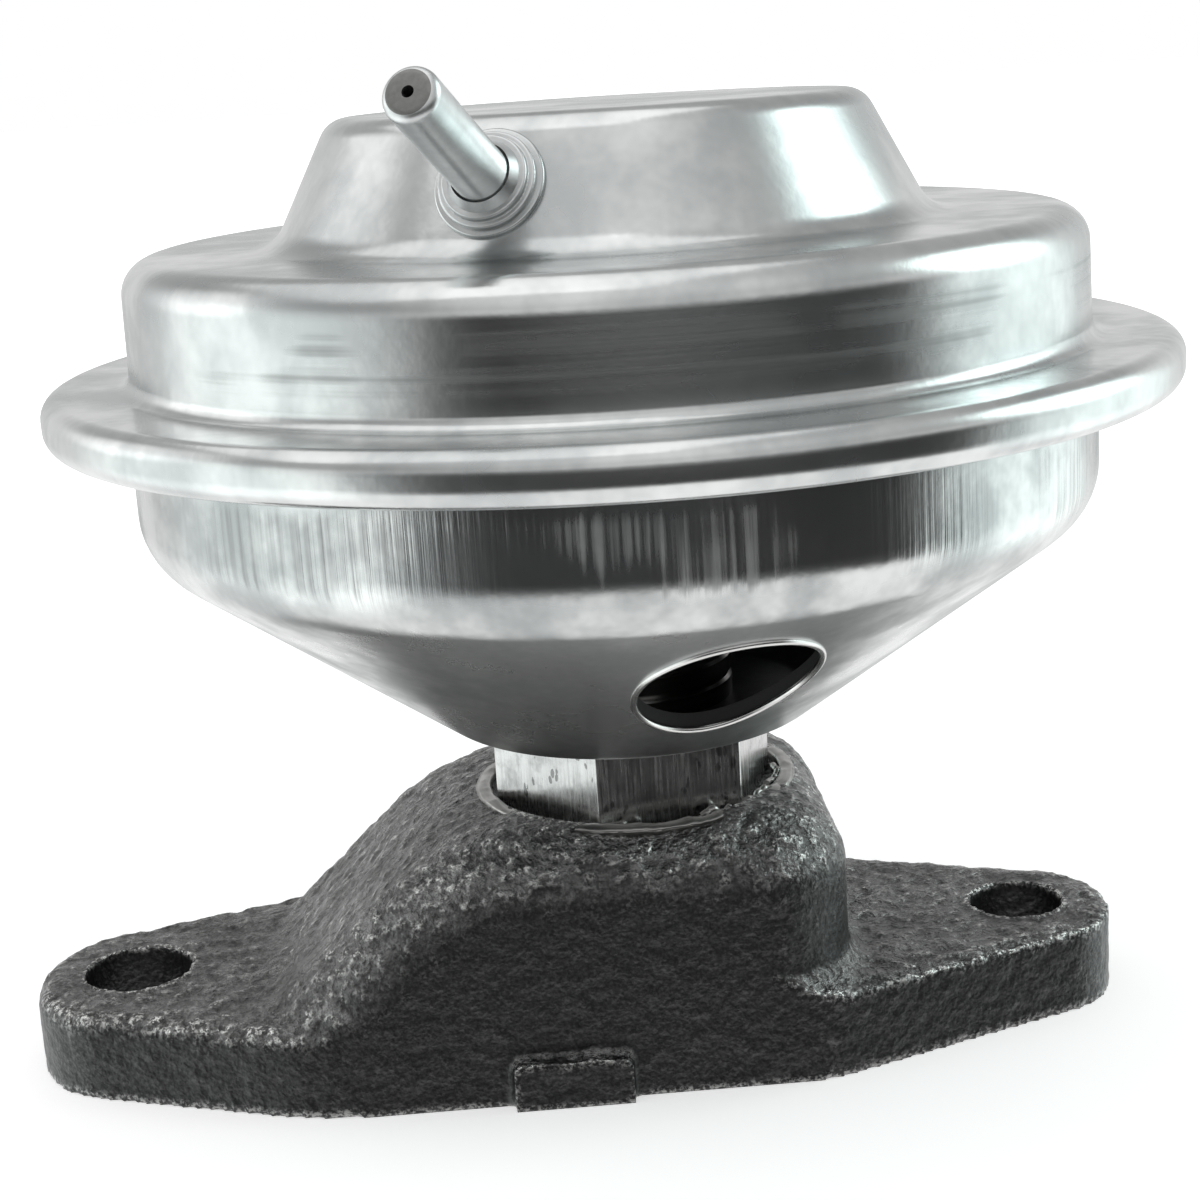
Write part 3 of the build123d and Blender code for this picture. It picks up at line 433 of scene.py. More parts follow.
@dataclass(frozen=True)
class MachinedSteel(Finish):
    """Bar steel, milled and handled: upright scratches, small dark pits and stains.

    Attributes:
        shade: Colour of the stains.
        pit_colour: Colour in the pits.
        scratch: Width of a scratch, mm.
        scratch_length: Length of a scratch, mm.
        scratch_depth: Depth of a scratch, mm.
        pit: Spacing of the pits, mm.
        pit_edge: Size of the ragged teeth of a pit's edge, mm.
        stain: Size of a stain, mm.
    """

    shade: str = "9b9b9a"
    pit_colour: str = "383838"
    scratch: float = 0.25
    scratch_length: float = 8.0
    scratch_depth: float = 0.005
    pit: float = 0.55
    pit_edge: float = 0.25
    stain: float = 3.0

    def pattern(self, tree: Tree, place: Socket) -> dict[str, Socket]:
        """Scratches, stains and pits."""
        scale = (per_mm(self.scratch), per_mm(self.scratch), per_mm(self.scratch_length))
        long = add_node(tree, "ShaderNodeMapping", {"Vector": place, "Scale": scale}).outputs[0]
        inputs = {"Vector": long, "Scale": 1.0, "Detail": 3.0, "Roughness": 0.7}
        scratch = add_node(tree, "ShaderNodeTexNoise", inputs).outputs[0]
        stain_noise = add_node(
            tree,
            "ShaderNodeTexNoise",
            {"Vector": place, "Scale": per_mm(self.stain), "Detail": 4.0, "Roughness": 0.65},
        ).outputs[0]
        stain = add_node(
            tree, "ShaderNodeMapRange", {0: stain_noise, 1: 0.42, 2: 0.7}, interpolation_type="SMOOTHSTEP"
        ).outputs[0]
        metal = add_node(
            tree,
            "ShaderNodeMix",
            {0: stain, 6: linear(self.colour), 7: linear(self.shade)},
            data_type="RGBA",
        ).outputs[2]
        scale = (per_mm(self.pit), per_mm(self.pit), per_mm(2.2 * self.pit))
        tall = add_node(tree, "ShaderNodeMapping", {"Vector": place, "Scale": scale}).outputs[0]
        cells = add_node(tree, "ShaderNodeTexVoronoi", {"Vector": tall, "Scale": 1.0}).outputs[0]
        reach_noise = add_node(
            tree,
            "ShaderNodeTexNoise",
            {"Vector": place, "Scale": per_mm(5.0 * self.pit), "Detail": 2.0, "Roughness": 0.5},
        ).outputs[0]
        reach = add_node(
            tree,
            "ShaderNodeMapRange",
            {0: reach_noise, 1: 0.5, 2: 0.66, 4: 0.42},
            interpolation_type="SMOOTHSTEP",
        ).outputs[0]
        rough_noise = add_node(
            tree,
            "ShaderNodeTexNoise",
            {"Vector": place, "Scale": per_mm(self.pit_edge), "Detail": 2.0, "Roughness": 0.5},
        ).outputs[0]
        rough = add_node(tree, "ShaderNodeMath", {0: rough_noise, 1: 0.5}, operation="SUBTRACT").outputs[0]
        ragged = add_node(
            tree, "ShaderNodeMath", {0: rough, 1: 0.3, 2: cells}, operation="MULTIPLY_ADD"
        ).outputs[0]
        pits_below = add_node(
            tree, "ShaderNodeMath", {0: ragged, 1: reach}, operation="LESS_THAN"
        ).outputs[0]
        pits = add_node(tree, "ShaderNodeMath", {0: pits_below, 1: 0.6}, operation="MULTIPLY").outputs[0]
        low, high = self.roughness - 0.05, self.roughness + 0.12
        base_color = add_node(
            tree, "ShaderNodeMix", {0: pits, 6: metal, 7: linear(self.pit_colour)}, data_type="RGBA"
        ).outputs[2]
        roughness = add_node(
            tree,
            "ShaderNodeMapRange",
            {0: scratch, 1: 0.3, 2: 0.7, 3: low, 4: high},
            interpolation_type="SMOOTHSTEP",
        ).outputs[0]
        normal = add_node(
            tree,
            "ShaderNodeBump",
            {"Height": scratch, "Distance": self.scratch_depth * MM, "Strength": 1.0},
        ).outputs[0]
        return {"Base Color": base_color, "Roughness": roughness, "Normal": normal}


@dataclass(frozen=True)
class SandCastIron(Finish):
    """Grey iron with its sand skin: grained sides painted dark as shade, pebbled upper faces painted pale
    as light.

    Attributes:
        shade: Colour in the hollows of the upper faces' grain: grain tone and painted shade.
        side: Colour of the upright sides, painted darker than the upper faces as shade.
        side_shade: Colour in the hollows of the sides' grain: grain tone and painted shade.
        crest_glint: Colour of the worn crests of the grain: wear and a painted glint.
        grain: Size of a sand grain's print, mm.
        grain_depth: Height of a grain's print, mm.
        pebble: Size of a lump of grains, mm.
        pebble_depth: Height of a lump, mm.
        patch: Size of the paler and darker patches, mm.
        painted_light_from: Upward part of the normal at which a face starts to be painted paler, as light
            from above.
        painted_light_to: Upward part of the normal from which a face is fully painted pale, as light from
            above.
    """

    shade: str = "4e4e4d"
    side: str = "4a4a4a"
    side_shade: str = "343434"
    crest_glint: str = "e8e8e5"
    grain: float = 0.42
    grain_depth: float = 0.3
    pebble: float = 1.3
    pebble_depth: float = 0.85
    patch: float = 6.0
    painted_light_from: float = 0.08
    painted_light_to: float = 0.6

    def pattern(self, tree: Tree, place: Socket) -> dict[str, Socket]:
        """Grains in lumps with painted shade in their hollows and worn crests with painted glints, the
        upper faces painted pale as light and the finely speckled sides painted dark as shade.
        """
        grain = add_node(
            tree,
            "ShaderNodeTexNoise",
            {"Vector": place, "Scale": per_mm(self.grain), "Detail": 3.0, "Roughness": 0.65},
        ).outputs[0]
        lumps = add_node(
            tree,
            "ShaderNodeTexNoise",
            {"Vector": place, "Scale": per_mm(self.pebble), "Detail": 2.0, "Roughness": 0.55},
        ).outputs[0]
        patch_noise = add_node(
            tree,
            "ShaderNodeTexNoise",
            {"Vector": place, "Scale": per_mm(self.patch), "Detail": 4.0, "Roughness": 0.65},
        ).outputs[0]
        patch = add_node(
            tree,
            "ShaderNodeMapRange",
            {0: patch_noise, 1: 0.36, 2: 0.6, 3: 0.5},
            interpolation_type="SMOOTHSTEP",
        ).outputs[0]
        surface = add_node(tree, "ShaderNodeNewGeometry").outputs
        upward = add_node(tree, "ShaderNodeSeparateXYZ", {0: surface["Normal"]}).outputs["Z"]
        # Painted light: the more a face looks up, the paler its colour, as light from above; upper holds
        # this, in patches.
        painted_top_light = add_node(
            tree,
            "ShaderNodeMapRange",
            {0: upward, 1: self.painted_light_from, 2: self.painted_light_to},
            interpolation_type="SMOOTHSTEP",
        ).outputs[0]
        upper = add_node(tree, "ShaderNodeMath", {0: painted_top_light, 1: patch}, operation="MULTIPLY").outputs[0]
        half_grain = add_node(tree, "ShaderNodeMath", {0: grain, 1: 0.5}, operation="MULTIPLY").outputs[0]
        grit = add_node(
            tree, "ShaderNodeMath", {0: lumps, 1: 0.5, 2: half_grain}, operation="MULTIPLY_ADD"
        ).outputs[0]
        # Painted shade: where the lumps and grain sink, the upper faces take the darker shade colour.
        grit_and_hollow_shade = add_node(
            tree, "ShaderNodeMapRange", {0: grit, 1: 0.38, 2: 0.62}, interpolation_type="SMOOTHSTEP"
        ).outputs[0]
        painted_lit_skin = add_node(
            tree,
            "ShaderNodeMix",
            {0: grit_and_hollow_shade, 6: linear(self.shade), 7: linear(self.colour)},
            data_type="RGBA",
        ).outputs[2]
        # Painted shade: the upright sides take darker colours than the upper faces, darker still in the
        # grain's hollows.
        speckle_and_hollow_shade = add_node(
            tree, "ShaderNodeMapRange", {0: grain, 1: 0.35, 2: 0.7}, interpolation_type="SMOOTHSTEP"
        ).outputs[0]
        dull = add_node(
            tree,
            "ShaderNodeMix",
            {0: speckle_and_hollow_shade, 6: linear(self.side_shade), 7: linear(self.side)},
            data_type="RGBA",
        ).outputs[2]
        # The sides' painted shade blends into the upper faces' painted light by how much a face looks up.
        skin = add_node(
            tree, "ShaderNodeMix", {0: upper, 6: dull, 7: painted_lit_skin}, data_type="RGBA"
        ).outputs[2]
        # Wear and painted glints: the grain's crests turn near-white, fully on the upper faces and less on
        # the sides.
        reached = add_node(tree, "ShaderNodeMath", {0: upper, 1: 0.3}, operation="MAXIMUM").outputs[0]
        crest_share = add_node(
            tree,
            "ShaderNodeMapRange",
            {0: surface["Pointiness"], 1: 0.5, 2: 0.532},
            interpolation_type="SMOOTHSTEP",
        ).outputs[0]
        crest_wear_and_glint = add_node(
            tree, "ShaderNodeMath", {0: crest_share, 1: reached}, operation="MULTIPLY"
        ).outputs[0]
        crest_grain = add_node(
            tree, "ShaderNodeMapRange", {0: grain, 1: 0.46, 2: 0.6}, interpolation_type="SMOOTHSTEP"
        ).outputs[0]
        worn = add_node(
            tree, "ShaderNodeMath", {0: crest_wear_and_glint, 1: crest_grain}, operation="MULTIPLY"
        ).outputs[0]
        coarse = add_node(
            tree, "ShaderNodeMath", {0: upper, 1: 0.75, 2: 0.25}, operation="MULTIPLY_ADD"
        ).outputs[0]
        lump_height = add_node(
            tree, "ShaderNodeMath", {0: lumps, 1: coarse}, operation="MULTIPLY"
        ).outputs[0]
        deep = add_node(
            tree,
            "ShaderNodeBump",
            {"Height": lump_height, "Distance": self.pebble_depth * MM, "Strength": 1.0},
        ).outputs[0]
        base_color = add_node(
            tree, "ShaderNodeMix", {0: worn, 6: skin, 7: linear(self.crest_glint)}, data_type="RGBA"
        ).outputs[2]
        roughness = add_node(
            tree,
            "ShaderNodeMapRange",
            {0: upper, 1: 0.0, 2: 1.0, 3: self.roughness + 0.08, 4: self.roughness - 0.1},
            interpolation_type="SMOOTHSTEP",
        ).outputs[0]
        grain_height = add_node(
            tree, "ShaderNodeMath", {0: grain, 1: coarse}, operation="MULTIPLY"
        ).outputs[0]
        normal = add_node(
            tree,
            "ShaderNodeBump",
            {"Height": grain_height, "Distance": self.grain_depth * MM, "Strength": 1.0, "Normal": deep},
        ).outputs[0]
        return {"Base Color": base_color, "Roughness": roughness, "Normal": normal}


@dataclass(frozen=True)
class TurnedMetal(Finish):
    """Turned, ground or drawn metal with fine rings round its axis.

    Attributes:
        shade: Colour between the rings.
        ring: Spacing of the rings, mm.
        ring_depth: Height of the rings, mm.
        drift: Distance over which a ring changes along its own length, mm.
    """

    shade: str = "85837f"
    ring: float = 0.2
    ring_depth: float = 0.008
    drift: float = 9.0

    def pattern(self, tree: Tree, place: Socket) -> dict[str, Socket]:
        """Rings round the axis, in relief and in tone."""
        scale = (per_mm(self.drift), per_mm(self.drift), per_mm(self.ring))
        flat = add_node(tree, "ShaderNodeMapping", {"Vector": place, "Scale": scale}).outputs[0]
        rings = add_node(
            tree, "ShaderNodeTexNoise", {"Vector": flat, "Scale": 1.0, "Detail": 2.0}
        ).outputs[0]
        base_color = add_node(
            tree,
            "ShaderNodeMix",
            {0: rings, 6: linear(self.colour), 7: linear(self.shade)},
            data_type="RGBA",
        ).outputs[2]
        normal = add_node(
            tree, "ShaderNodeBump", {"Height": rings, "Distance": self.ring_depth * MM, "Strength": 1.0}
        ).outputs[0]
        return {"Base Color": base_color, "Normal": normal}


@dataclass(frozen=True)
class Granular(Finish):
    """A pressed, sintered or moulded surface: an even fine grain in two tones.

    Attributes:
        shade: Colour between the grains.
        grain: Size of a grain, mm.
        relief: Height of a grain, mm.
    """

    shade: str = "101010"
    grain: float = 0.3
    relief: float = 0.03

    def pattern(self, tree: Tree, place: Socket) -> dict[str, Socket]:
        """The grain in colour and relief."""
        grain = add_node(
            tree,
            "ShaderNodeTexNoise",
            {"Vector": place, "Scale": per_mm(self.grain), "Detail": 3.0, "Roughness": 0.7},
        ).outputs[0]
        base_color = add_node(
            tree,
            "ShaderNodeMix",
            {0: grain, 6: linear(self.shade), 7: linear(self.colour)},
            data_type="RGBA",
        ).outputs[2]
        normal = add_node(
            tree, "ShaderNodeBump", {"Height": grain, "Distance": self.relief * MM, "Strength": 1.0}
        ).outputs[0]
        return {"Base Color": base_color, "Normal": normal}


# Zinc on cold-rolled sheet, spun: a bright satin grey with broad soft reflections in level bands.
ZINC = ZincPlatedSheet("zinc_plated_sheet", "plated_sheet", "d6d8d7", 1.0, 0.22)
# The same sheet deep-drawn: duller, and its reflections break into upright streaks.
DRAWN_ZINC = ZincPlatedSheet(
    "zinc_plated_drawn_sheet",
    "plated_sheet",
    "d2d4d3",
    1.0,
    0.19,
    Working.DRAWN,
    shade="a0a3a3",
    cloud=9.0,
    line_depth=0.1,
    line_span=(49.0, 56.5),
    line_matt=0.3,
    line_tone=0.3,
    slope_matt=0.1,
)
# Zinc on the small drawn tube: softer than on the shells, so no sharp streaks run along it.
TUBE_ZINC = Granular(
    "zinc_plated_tube", "plated_sheet", "d8dada", 1.0, 0.34, shade="b2b4b4", grain=1.4, relief=0.012
)
# The tube's cut end: bare steel, mid-grey.
CUT_TUBE = Granular(
    "cut_tube_end", "plated_sheet", "8e8e8c", 1.0, 0.42, shade="6c6c6a", grain=0.5, relief=0.01
)
# The sheet's torn edge inside a vent: matt and nearly black.
SHEARED = Granular("dark_sheared_edge", "plated_sheet", "101010", 0.0, 0.8, shade="080808", grain=0.4)
# The burr that the punch rolled round a vent: a thin smooth bright line.
ROLLED_BURR = TurnedMetal(
    "burnished_sheet_edge", "plated_sheet", "dededc", 1.0, 0.24, shade="b4b4b2", ring=0.8
)
# Zinc on the cup's inside, on faces under its rim that look up or towards the axis: nearly black and dull.
DARK_INSIDE_ZINC = Granular("dark_inside_zinc", "plated_sheet", "545454", 0.7, 0.42, shade="2a2a2a", grain=1.2)
# Turned cap, clamp ring and spacer: smooth and fairly dark.
TURNED_STEEL = TurnedMetal(
    "turned_bar_steel", "machined_steel", "a4a3a1", 1.0, 0.26, shade="807f7d", ring=0.3
)
# Free-cutting bar steel, milled on its flats: brighter and sharper than the plating.
BAR_STEEL = MachinedSteel("machined_bar_steel", "machined_steel", "bebebd", 1.0, 0.19)
# Grey iron from a sand mould: its colour is the pale one painted on what faces up, as light, and its sides
# are painted dark as shade.
IRON = SandCastIron("sand_cast_grey_iron", "cast_iron", "858584", 0.9, 0.33)
# The same iron where a cutter has bared it: lighter, with fine rings.
CUT_IRON = TurnedMetal("machined_grey_iron", "cast_iron", "bdbcb9", 1.0, 0.3, shade="7c7b79", ring=0.15)
# Ground stainless stem and seat: even, fairly bright, fine rings.
STAINLESS = TurnedMetal("ground_stainless_steel", "stainless_steel", "b7b5b0", 1.0, 0.25)
# Oil-tempered spring wire: dark and smooth.
SPRING_WIRE = TurnedMetal(
    "oil_tempered_wire", "spring_steel", "5c5c5e", 1.0, 0.35, shade="404042", ring=0.5
)
# Oil-filled sintered bronze bush: brown and porous.
BRONZE = Granular("sintered_bronze", "sintered_bronze", "8e6c3e", 1.0, 0.5, shade="5d4527", grain=0.25)
# Pressed graphite packing: nearly black with a dull lead gloss.
GRAPHITE = Granular("pressed_graphite", "graphite_packing", "2b2b2d", 0.0, 0.45, shade="171718", grain=0.4)
# Fabric-backed nitrile rubber: matt black.
RUBBER = Granular("nitrile_rubber", "diaphragm_rubber", "1c1c1c", 0.0, 0.62, shade="0e0e0e", grain=0.5)


# ---------------------------------------------------------------- pieces
def mesh_object(name: str, mesh: bpy.types.Mesh) -> Object:
    """Puts a mesh in the scene as an object at the origin."""
    made = bpy.data.objects.new(name, mesh)
    bpy.context.scene.collection.objects.link(made)
    return made


def copy_of(node: Object, name: str) -> Object:
    """A copy of a CAD node's mesh with its split corners merged, as an object of its own."""
    shape = bmesh.new()
    shape.from_mesh(node.data)
    bmesh.ops.remove_doubles(shape, verts=shape.verts, dist=SPLIT_GAP * MM)
    bmesh.ops.recalc_face_normals(shape, faces=shape.faces)
    mesh = bpy.data.meshes.new(name)
    shape.to_mesh(mesh)
    shape.free()
    mesh.shade_smooth()
    mesh.set_sharp_from_angle(angle=math.radians(SMOOTH_ANGLE))
    return mesh_object(name, mesh)


def eased(node: Object, name: str, width: float) -> Object:
    """A merged copy of a CAD node with its sharp edges broken.

    Args:
        node: The CAD object.
        name: The copy's name.
        width: Width of the broken edge, mm.

    Returns:
        The copy.
    """
    piece = copy_of(node, name)
    piece.data.set_sharp_from_angle(angle=math.pi)
    bevel = piece.modifiers.new("broken_edges", "BEVEL")
    bevel.width, bevel.segments = width * MM, 2
    bevel.limit_method, bevel.angle_limit = "ANGLE", math.radians(BREAK_ANGLE)
    piece.modifiers.new("even_faces", "WEIGHTED_NORMAL")
    return baked(piece)


def rounded(corners: Outline, radii: tuple[float, ...], gauge: float) -> Outline:
    """The outline of a bent sheet: a line with rounded corners and its parallel on the right.

    Args:
        corners: The line's corners as radius and height, mm.
        radii: Rounding of each inner corner.
        gauge: The sheet's thickness.

    Returns:
        The closed outline.
    """
    steps, spots = 9, []
    ways = [(Vector(end) - Vector(start)).normalized() for start, end in zip(corners, corners[1:])]
    spots.append((Vector(corners[0]), ways[0]))
    for corner, into, out, radius in zip(corners[1:], ways, ways[1:], radii):
        turn = math.atan2(into.x * out.y - into.y * out.x, into.dot(out))
        side = Vector((-into.y, into.x)) * math.copysign(radius, turn)
        start = Vector(corner) - into * radius * math.tan(abs(turn) / 2.0)
        for step in range(steps + 1):
            bend = Matrix.Rotation(turn * step / steps, 2)
            spots.append((start + side - bend @ side, bend @ into))
    spots.append((Vector(corners[-1]), ways[-1]))
    inner = [spot + Vector((way.y, -way.x)) * gauge for spot, way in spots]
    return [(max(p.x, 0.0), p.y) for p in [spot for spot, _ in spots] + inner[::-1]]


def turned(name: str, profile: Outline, steps: int) -> Object:
    """Turns a closed profile round the Z axis.

    Args:
        name: The new object's name.
        profile: Corners of the profile as radius and height, mm, anticlockwise with radius to the right.
        steps: Facets in a full turn.

    Returns:
        The new object.
    """
    rows = []
    for step in range(steps):
        turn = math.tau * step / steps
        rows += [(r * math.cos(turn) * MM, r * math.sin(turn) * MM, z * MM) for r, z in profile]
    size = len(profile)
    faces = []
    for step in range(steps):
        near, far = step * size, (step + 1) % steps * size
        faces += [(near + i, far + i, far + (i + 1) % size, near + (i + 1) % size) for i in range(size)]
    mesh = bpy.data.meshes.new(name)
    mesh.from_pydata(rows, [], faces)
    shape = bmesh.new()
    shape.from_mesh(mesh)
    bmesh.ops.remove_doubles(shape, verts=shape.verts, dist=TURNED_GAP * MM)
    bmesh.ops.recalc_face_normals(shape, faces=shape.faces)
    shape.to_mesh(mesh)
    shape.free()
    mesh.shade_smooth()
    piece = mesh_object(name, mesh)
    piece.modifiers.new("even_faces", "WEIGHTED_NORMAL")
    return baked(piece)


def growth_tree(name: str, sizes: dict[str, float]) -> tuple[Tree, bpy.types.Node]:
    """Starts a geometry tree with a named input for each size.

    Args:
        name: The tree's name.
        sizes: Name and starting value of each input.

    Returns:
        The tree and its input node.
    """
    tree = bpy.data.node_groups.new(name, "GeometryNodeTree")
    tree.interface.new_socket("Geometry", in_out="INPUT", socket_type="NodeSocketGeometry")
    tree.interface.new_socket("Geometry", in_out="OUTPUT", socket_type="NodeSocketGeometry")
    for label in sizes:
        tree.interface.new_socket(label, in_out="INPUT", socket_type="NodeSocketFloat")
    return tree, add_node(tree, "NodeGroupInput")


def grow(owner: Object, tree: Tree, shape: Socket, finish: Finish, sizes: dict[str, float]) -> Object:
    """Ends a geometry tree, runs it on an object and keeps the result as a plain mesh.

    Args:
        owner: The object that the tree works on.
        tree: The tree.
        shape: Its last geometry.
        finish: Finish of the grown piece.
        sizes: Value of each named input.

    Returns:
        The owner, with the grown mesh.
    """
    real = add_node(tree, "GeometryNodeRealizeInstances", {0: shape}).outputs[0]
    smooth = add_node(tree, "GeometryNodeSetShadeSmooth", {0: real}).outputs[0]
    dressed = add_node(
        tree, "GeometryNodeSetMaterial", {0: smooth, "Material": finish.material()}
    ).outputs[0]
    add_node(tree, "NodeGroupOutput", {0: dressed})
    modifier = owner.modifiers.new(tree.name, "NODES")
    modifier.node_group = tree
    for item in tree.interface.items_tree:
        if item.in_out == "INPUT" and item.name in sizes:
            modifier[item.identifier] = sizes[item.name]
    return baked(owner)


def baked(owner: Object) -> Object:
    """Swaps an object's mesh for its shape with modifiers, and removes them."""
    bpy.context.view_layer.update()
    graph = bpy.context.evaluated_depsgraph_get()
    mesh = bpy.data.meshes.new_from_object(owner.evaluated_get(graph))
    owner.modifiers.clear()
    owner.data = mesh
    return owner


def dress(owner: Object, *finishes: Finish) -> None:
    """Gives an object its finishes, the first one all over until faces are told otherwise."""
    owner.data.materials.clear()
    for finish in finishes:
        owner.data.materials.append(finish.material())


# ---------------------------------------------------------------- sub-assemblies
@dataclass
class SubAssembly:
    """A named group of the valve's parts.

    Attributes:
        nodes: The frame's CAD objects by name.
        made: Pieces built so far.
    """

    nodes: dict[str, Object]
    made: list[Object] = field(default_factory=list, init=False)

    def keep(self, piece: Object, body: Body, finish: Finish, *replaced: str) -> Object:
        """Settles a finished piece on its body.

        Args:
            piece: The piece, in place in the row frame.
            body: The body that it rides on.
            finish: Its finish. A piece with several has dressed itself, and this is its main one.
            *replaced: CAD nodes that it stands for.

        Returns:
            The piece.
        """
        several = len(piece.data.materials) > 1
        if not several:
            dress(piece, finish)
        if replaced:
            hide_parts(*replaced)
        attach(piece, body.value)
        self.made.append(piece)
        return piece

    def dress_nodes(self, finish: Finish, *names: str) -> None:
        """Gives CAD nodes a finish."""
        for name in names:
            dress(self.nodes[name], finish)

    def build(self) -> list[Object]:
        """Dresses the group's CAD nodes, builds its pieces and returns them."""
        raise NotImplementedError


@dataclass
class CastBase(SubAssembly):
    """The iron base: rough from the mould outside, machined in its bores and underneath.

    Attributes:
        grid: Spacing of the rough surface's points.
        relief: Depth of the mould's print.
        swell: Size of the print's broad unevenness.
        lump: Size of the print's pebbles.
        pocket_radius: Radius of the pocket round the hexagon.
        land_z: Height of the pedestal's top.
        pocket_z: Height of the pocket's floor.
        bolts: Place along X and radius of each drilled bolt hole.
        rim_wear: Unevenness of the pocket's cut rim.
        wear_size: Length over which that changes.
        rim_steps: Facets of the rim in a full turn.
        chip: Thickness of the galled slivers.
        chip_z: Height at which they lie.
        chip_bend: Length over which a sliver wanders.
        chip_stray: How far it wanders.
        chip_tooth: Size of its ragged teeth.
        chip_arcs: Start and sweep of each, degrees from +X.
    """

    grid: float = 0.42
    relief: float = 0.34
    swell: float = 4.0
    lump: float = 1.5
    pocket_radius: float = 13.117
    land_z: float = 23.4
    pocket_z: float = 21.9
    bolts: tuple[tuple[float, float], ...] = ((-46.4, 4.8), (34.7, 4.15))
    rim_wear: float = 0.9
    wear_size: float = 2.2
    rim_steps: int = 220
    chip: float = 0.36
    chip_z: float = 22.8
    chip_bend: float = 1.8
    chip_stray: float = 2.4
    chip_tooth: float = 0.7
    chip_arcs: tuple[tuple[float, float], ...] = (
        (-106.0, 16.0), (-68.0, 14.0), (-44.0, 18.0), (-22.0, 22.0),
    )

    def build(self) -> list[Object]:
        """Dresses the seat, and builds the rough casting and the pocket's cut rim."""
        self.dress_nodes(STAINLESS, "valve_seat")
        self.keep(self.rough_casting(), Body.HOUSING, IRON, "base_casting")
        self.keep(self.cut_rim(), Body.HOUSING, CUT_IRON)
        self.keep(self.chips(), Body.HOUSING, CUT_IRON)
        return self.made

    def rough_casting(self) -> Object:
        """The casting on an even grid, its outside sunk a little by the sand's print."""
        piece = copy_of(self.nodes["base_casting"], "rough_casting")
        remesh = piece.modifiers.new("even_grid", "REMESH")
        remesh.mode = "VOXEL"
        remesh.voxel_size = self.grid * MM
        baked(piece)
        sizes = {"Relief": self.relief * MM, "Pocket": (self.pocket_radius + 0.5) * MM}
        tree, entry = growth_tree("sand_print", sizes)
        place = add_node(tree, "GeometryNodeInputPosition").outputs[0]
        axes = add_node(tree, "ShaderNodeSeparateXYZ", {0: place})
        across = add_node(tree, "ShaderNodeCombineXYZ", {0: axes.outputs[0], 1: axes.outputs[1]}).outputs[0]
        radius = add_node(tree, "ShaderNodeVectorMath", {0: across}, operation="LENGTH").outputs["Value"]
        outside = add_node(
            tree, "ShaderNodeMath", {0: radius, 1: entry.outputs["Pocket"]}, operation="GREATER_THAN"
        ).outputs[0]
        for x, bolt_radius in self.bolts:
            inputs = {0: across, 1: (x * MM, 0.0, 0.0)}
            far = add_node(tree, "ShaderNodeVectorMath", inputs, operation="DISTANCE").outputs["Value"]
            drilled = add_node(
                tree,
                "ShaderNodeMapRange",
                {0: far, 1: (bolt_radius + 0.1) * MM, 2: (bolt_radius + 0.6) * MM},
                interpolation_type="SMOOTHSTEP",
            ).outputs[0]
            outside = add_node(
                tree, "ShaderNodeMath", {0: outside, 1: drilled}, operation="MULTIPLY"
            ).outputs[0]
        above = add_node(
            tree,
            "ShaderNodeMapRange",
            {0: axes.outputs[2], 1: 0.4 * MM, 2: 1.2 * MM},
            interpolation_type="SMOOTHSTEP",
        ).outputs[0]
        normal = add_node(tree, "GeometryNodeInputNormal").outputs[0]
        up = add_node(tree, "ShaderNodeSeparateXYZ", {0: normal}).outputs["Z"]
        coarse = add_node(
            tree, "ShaderNodeMapRange", {0: up, 1: 0.0, 2: 0.5, 3: 0.3}, interpolation_type="SMOOTHSTEP"
        ).outputs[0]
        broad_noise = add_node(
            tree,
            "ShaderNodeTexNoise",
            {"Vector": place, "Scale": per_mm(self.swell), "Detail": 2.0, "Roughness": 0.6},
        ).outputs[0]
        broad = add_node(
            tree, "ShaderNodeMapRange", {0: broad_noise, 1: 0.3, 2: 0.7}, interpolation_type="SMOOTHSTEP"
        ).outputs[0]
        pebble_noise = add_node(
            tree,
            "ShaderNodeTexNoise",
            {"Vector": place, "Scale": per_mm(self.lump), "Detail": 1.0, "Roughness": 0.5},
        ).outputs[0]
        pebble = add_node(
            tree, "ShaderNodeMapRange", {0: pebble_noise, 1: 0.32, 2: 0.68}, interpolation_type="SMOOTHSTEP"
        ).outputs[0]
        broad_part = add_node(tree, "ShaderNodeMath", {0: broad, 1: 0.4}, operation="MULTIPLY").outputs[0]
        sand = add_node(
            tree, "ShaderNodeMath", {0: pebble, 1: 0.6, 2: broad_part}, operation="MULTIPLY_ADD"
        ).outputs[0]
        print_depth = add_node(
            tree, "ShaderNodeMath", {0: sand, 1: coarse}, operation="MULTIPLY"
        ).outputs[0]
        cast = add_node(tree, "ShaderNodeMath", {0: outside, 1: above}, operation="MULTIPLY").outputs[0]
        cast_print = add_node(
            tree, "ShaderNodeMath", {0: print_depth, 1: cast}, operation="MULTIPLY"
        ).outputs[0]
        sunk = add_node(
            tree, "ShaderNodeMath", {0: cast_print, 1: entry.outputs["Relief"]}, operation="MULTIPLY"
        ).outputs[0]
        inwards = add_node(tree, "ShaderNodeMath", {0: sunk, 1: -1.0}, operation="MULTIPLY").outputs[0]
        offset = add_node(tree, "ShaderNodeVectorMath", {0: normal, "Scale": inwards}, operation="SCALE")
        shape = add_node(
            tree, "GeometryNodeSetPosition", {0: entry.outputs[0], "Offset": offset.outputs[0]}
        )
        return grow(piece, tree, shape.outputs[0], IRON, sizes)

